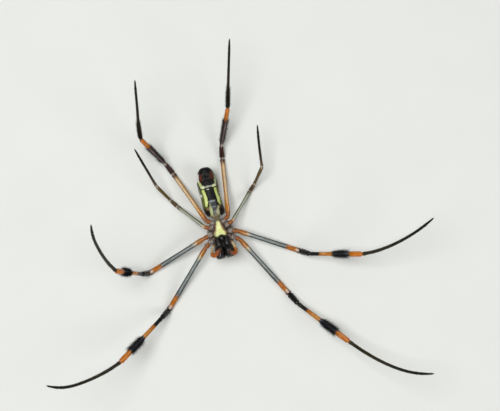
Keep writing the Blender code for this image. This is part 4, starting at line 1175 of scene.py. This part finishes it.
def leg_skin(name, number, sign):
    """The skin of one leg, with a narrow soft ring and two collars at each joint."""
    corners, rounds = leg_line(name, number, sign)
    radii = SEGMENT_RADII[number]
    far = [0.0]
    for before, after in zip(corners, corners[1:]):
        far.append(far[-1] + (after - before).length)
    start = -far[2]
    total = far[-1]
    coxa_far = far[1]

    def centre(run):
        for index in range(1, len(corners) - 1):
            if abs(run - far[index]) < rounds[index]:
                wide = rounds[index]
                t = (run - far[index] + wide) / (2.0 * wide)
                near = corners[index] + (corners[index - 1] - corners[index]).normalized() * wide
                beyond = corners[index] + (corners[index + 1] - corners[index]).normalized() * wide
                return near * (1.0 - t) ** 2 + corners[index] * (2.0 * t * (1.0 - t)) + beyond * t ** 2
        index = max(i for i in range(len(far) - 1) if far[i] <= run + 1e-9)
        share = (run - far[index]) / (far[index + 1] - far[index])
        return corners[index].lerp(corners[index + 1], share)

    tarsus_far = total - SEGMENT_LENGTHS[number][4]
    keys = [
        (0.0, radii[0] * 0.80), (0.5, radii[0] * 0.96), (coxa_far * 0.6, radii[0] * 1.0), (coxa_far - 0.3, radii[0] * 0.92),
        (coxa_far, radii[1] * 0.96), (coxa_far + 0.3, radii[1] * 1.04), (far[2] - 0.25, radii[1] * 1.04),
        (far[2] + 0.25, radii[2] * 1.00), (far[2] + 1.4, radii[2] * 1.16), (far[2] + 5.0, radii[2] * 0.98),
        (far[3] - 2.0, radii[3] * 0.97), (far[3] - 0.7, radii[3] * 1.04), (far[3] - 0.1, radii[3] * 0.98),
        (far[3] + 0.5, radii[4] * 1.04), (far[3] + 1.4, radii[4] * 1.12), (far[4] - 0.9, radii[4] * 0.98),
        (far[4], radii[5] * 1.00), (far[4] + 0.7, radii[5] * 0.98), (far[4] + 2.5, radii[5] * 1.0),
        (far[5] - 1.6, radii[6] * 1.10), (far[5] - 0.3, radii[6] * 1.04), (far[5] + 0.3, radii[7] * 1.10),
        (far[5] + 1.5, radii[7] * 1.0), (tarsus_far - 0.3, radii[8] * 1.04), (tarsus_far + 0.4, radii[8] * 1.0),
        (total - 0.5, radii[9] * 1.05), (total - 0.12, radii[9] * 0.80), (total, radii[9] * 0.30),
    ]
    joints = [(coxa_far, 0.11), (far[2], 0.12), (far[3], 0.30), (far[4], 0.22), (far[5], 0.24), (tarsus_far, 0.16)]
    runs = [0.0]
    while runs[-1] < total:
        close = min(abs(runs[-1] - joint) for joint, _ in joints)
        runs.append(runs[-1] + (0.085 if close < 0.75 else 0.30))
    runs[-1] = total

    def radius(run):
        for (low, below), (high, above) in zip(keys, keys[1:]):
            if run <= high:
                t = (run - low) / (high - low)
                size = below + (above - below) * t * t * (3.0 - 2.0 * t)
                break
        else:
            size = keys[-1][1]
        inside = min(1.0, max(0.0, min(run - far[2], far[5] - run) / 1.5))
        size *= 1.0 + (0.10 if number < 3 else 0.05) * inside * inside * (3.0 - 2.0 * inside)
        for joint, depth in joints:
            size *= 1.0 - depth * bell(run - joint, 0.15) + 0.4 * depth * bell(abs(run - joint) - 0.52, 0.28)
        return size

    def lobes(station, around):
        # Each joint swells at its two sides, where its pivots are.
        run = station - start
        swell = sum(bell(abs(run - joint) - 0.30, 0.28) for joint, _ in joints[2:5])
        return 1.0 + 0.07 * swell * (math.sin(around) ** 2 - 0.5)

    return limb_mesh(name, [centre(run) for run in runs], [radius(run) for run in runs], 22, start, shape=lobes)


# The brush on a shin: where its roots start and end as shares of it, and its
# blades' length and lean.
BRUSHES = {1: (0.430, 0.745, 1.62, 0.92), 2: (0.39, 0.71, 1.38, 0.95), 4: (0.04, 0.70, 1.24, 0.72)}
frost = Finish("white_hair", Roughness=0.45)
frost.feed("Base Color", frost.mix((0.56, 0.49, 0.43), (0.90, 0.85, 0.78), frost.noise(2.5, 2.0).ramp(0.3, 0.7)))
brush_hair = Finish("brush_hair", Roughness=0.40, Specular_IOR_Level=0.35)
brush_hair.feed("Base Color", brush_hair.mix((0.006, 0.006, 0.007), (0.026, 0.027, 0.032), brush_hair.noise(4.0)))
foot_hair = Finish("foot_hair", Roughness=0.45, Specular_IOR_Level=0.3)
foot_hair.feed("Base Color", foot_hair.mix((0.007, 0.006, 0.003), (0.030, 0.021, 0.010), foot_hair.noise(4.0)))
claw_finish = fang_finish
claws = []
for number in (1, 2, 3, 4):
    skin_finish = leg_finish(number)
    hair_finish = Finish("leg_hair_" + str(number), Roughness=0.45, Specular_IOR_Level=0.3)
    hair_tone = hair_finish.mix(leg_tone(hair_finish, number), (0.010, 0.009, 0.008), 0.66)
    hair_finish.feed("Base Color", hair_finish.mix(hair_tone, (0.09, 0.075, 0.05), hair_finish.noise(4.0).ramp(0.5, 0.8) * 0.3))
    slot = {1: "femur_front", 2: "femur_front", 3: "femur_third", 4: "femur_hind"}[number]
    for side, sign in (("left", -1.0), ("right", 1.0)):
        name = "leg_" + str(number) + "_" + side
        nodes = [part + "_" + str(number) + "_" + side for part in ("coxa", "femur", "tibia", "metatarsus")]
        leg_mesh = leg_skin(name, number, sign)
        stations = [value.value for value in leg_mesh.attributes["station"].data]
        leg = fit(name + "_skin", leg_mesh, skin_finish, slot, *nodes)
        foot_start = station_of(number, "foot", 0.0)
        knee, shin = station_of(number, "femur", 0.95), station_of(number, "tibia", 0.15)
        grow(name + "_hair", leg, hair_finish, slot, 20.0, 0.46, 0.030, stand=0.42, spread=0.22,
             hair=[0.35 if knee < far < shin else 1.0 if far < foot_start else 1.5 for far in stations])
        around = [value.vector[0] for value in leg_mesh.attributes["wrap"].data]
        grow(name + "_hip_hair", leg, silver, "coxa", 18.0, 0.40, 0.045, stand=0.25, spread=0.22,
             hair=[1.0 if far < -0.9 else 0.0 for far in stations])
        grow(name + "_hip_patch", leg, frost, "coxa", 112.0, 0.42, 0.070, stand=0.16, spread=0.16,
             hair=[bell(far + 1.95, 0.48) * max(0.0, up - 0.25) for far, up in zip(stations, around)])
        if number in BRUSHES:
            low, high, length, lean = BRUSHES[number]
            first, last = station_of(number, "tibia", low), station_of(number, "tibia", high)
            bare = 0.88 if number == 4 else 0.35
            within = [min(1.0, max(0.0, min(far - first, last - far) / 0.7)) for far in stations]
            sides = [full * (1.0 - bare * max(0.0, up) ** 2) for full, up in zip(within, around)]
            grow(name + "_brush", leg, brush_hair, "tibia", 115.0 if number != 4 else 92.0, length * 0.92, 0.058,
                 stand=lean, spread=0.34, curl=0.10, evenness=0.40, hair=sides)
            grow(name + "_brush_ends", leg, brush_hair, "tibia", 26.0 if number != 4 else 14.0, length * 1.20, 0.044,
                 stand=lean, spread=0.46, curl=0.06, evenness=0.55, hair=sides)
        # Down on the foot: thick on the first third of the hind foot, short and close to every tip.
        shag, fine = (170.0, 1.00) if number == 4 else (44.0, 0.36)
        shag_end = station_of(number, "foot", 0.40)
        grow(name + "_foot_shag", leg, foot_hair, "foot", shag, fine, 0.045, stand=0.75, spread=0.25, evenness=0.40,
             hair=[min(1.0, (shag_end - far) / 2.5) if foot_start + 0.3 < far < shag_end else 0.0 for far in stations])
        grow(name + "_foot_down", leg, foot_hair, "foot", 64.0, 0.28, 0.034, stand=0.50, spread=0.25,
             hair=[1.0 if far > shag_end - 0.5 else 0.0 for far in stations])
        tip = leg_mesh.vertices[len(leg_mesh.vertices) - 1].co * 1000.0 + Vector((-0.40, 4.30, 0.0))
        way = Vector(leg_mesh.attributes["lie"].data[len(leg_mesh.vertices) - 1].vector)
        across = way.cross(Vector((0.0, 0.0, 1.0))).normalized()
        for hook in (-1.0, 1.0):
            route = [tip - way * 0.12 + across * hook * (0.04 + 0.05 * t / 8) + way * 0.36 * math.sin(1.5 * t / 8)
                     + way.cross(across) * 0.16 * (1.0 - math.cos(1.6 * t / 8)) for t in range(9)]
            claws.append(limb_mesh("claw", route, [0.045 * (1.0 - 0.10 * t) for t in range(9)], 8))
fit("claws", merged("claws", claws), claw_finish, "foot")

sizes = {"cad": [list(corner) for corner in cad_box], "visual": [list(corner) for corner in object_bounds()]}
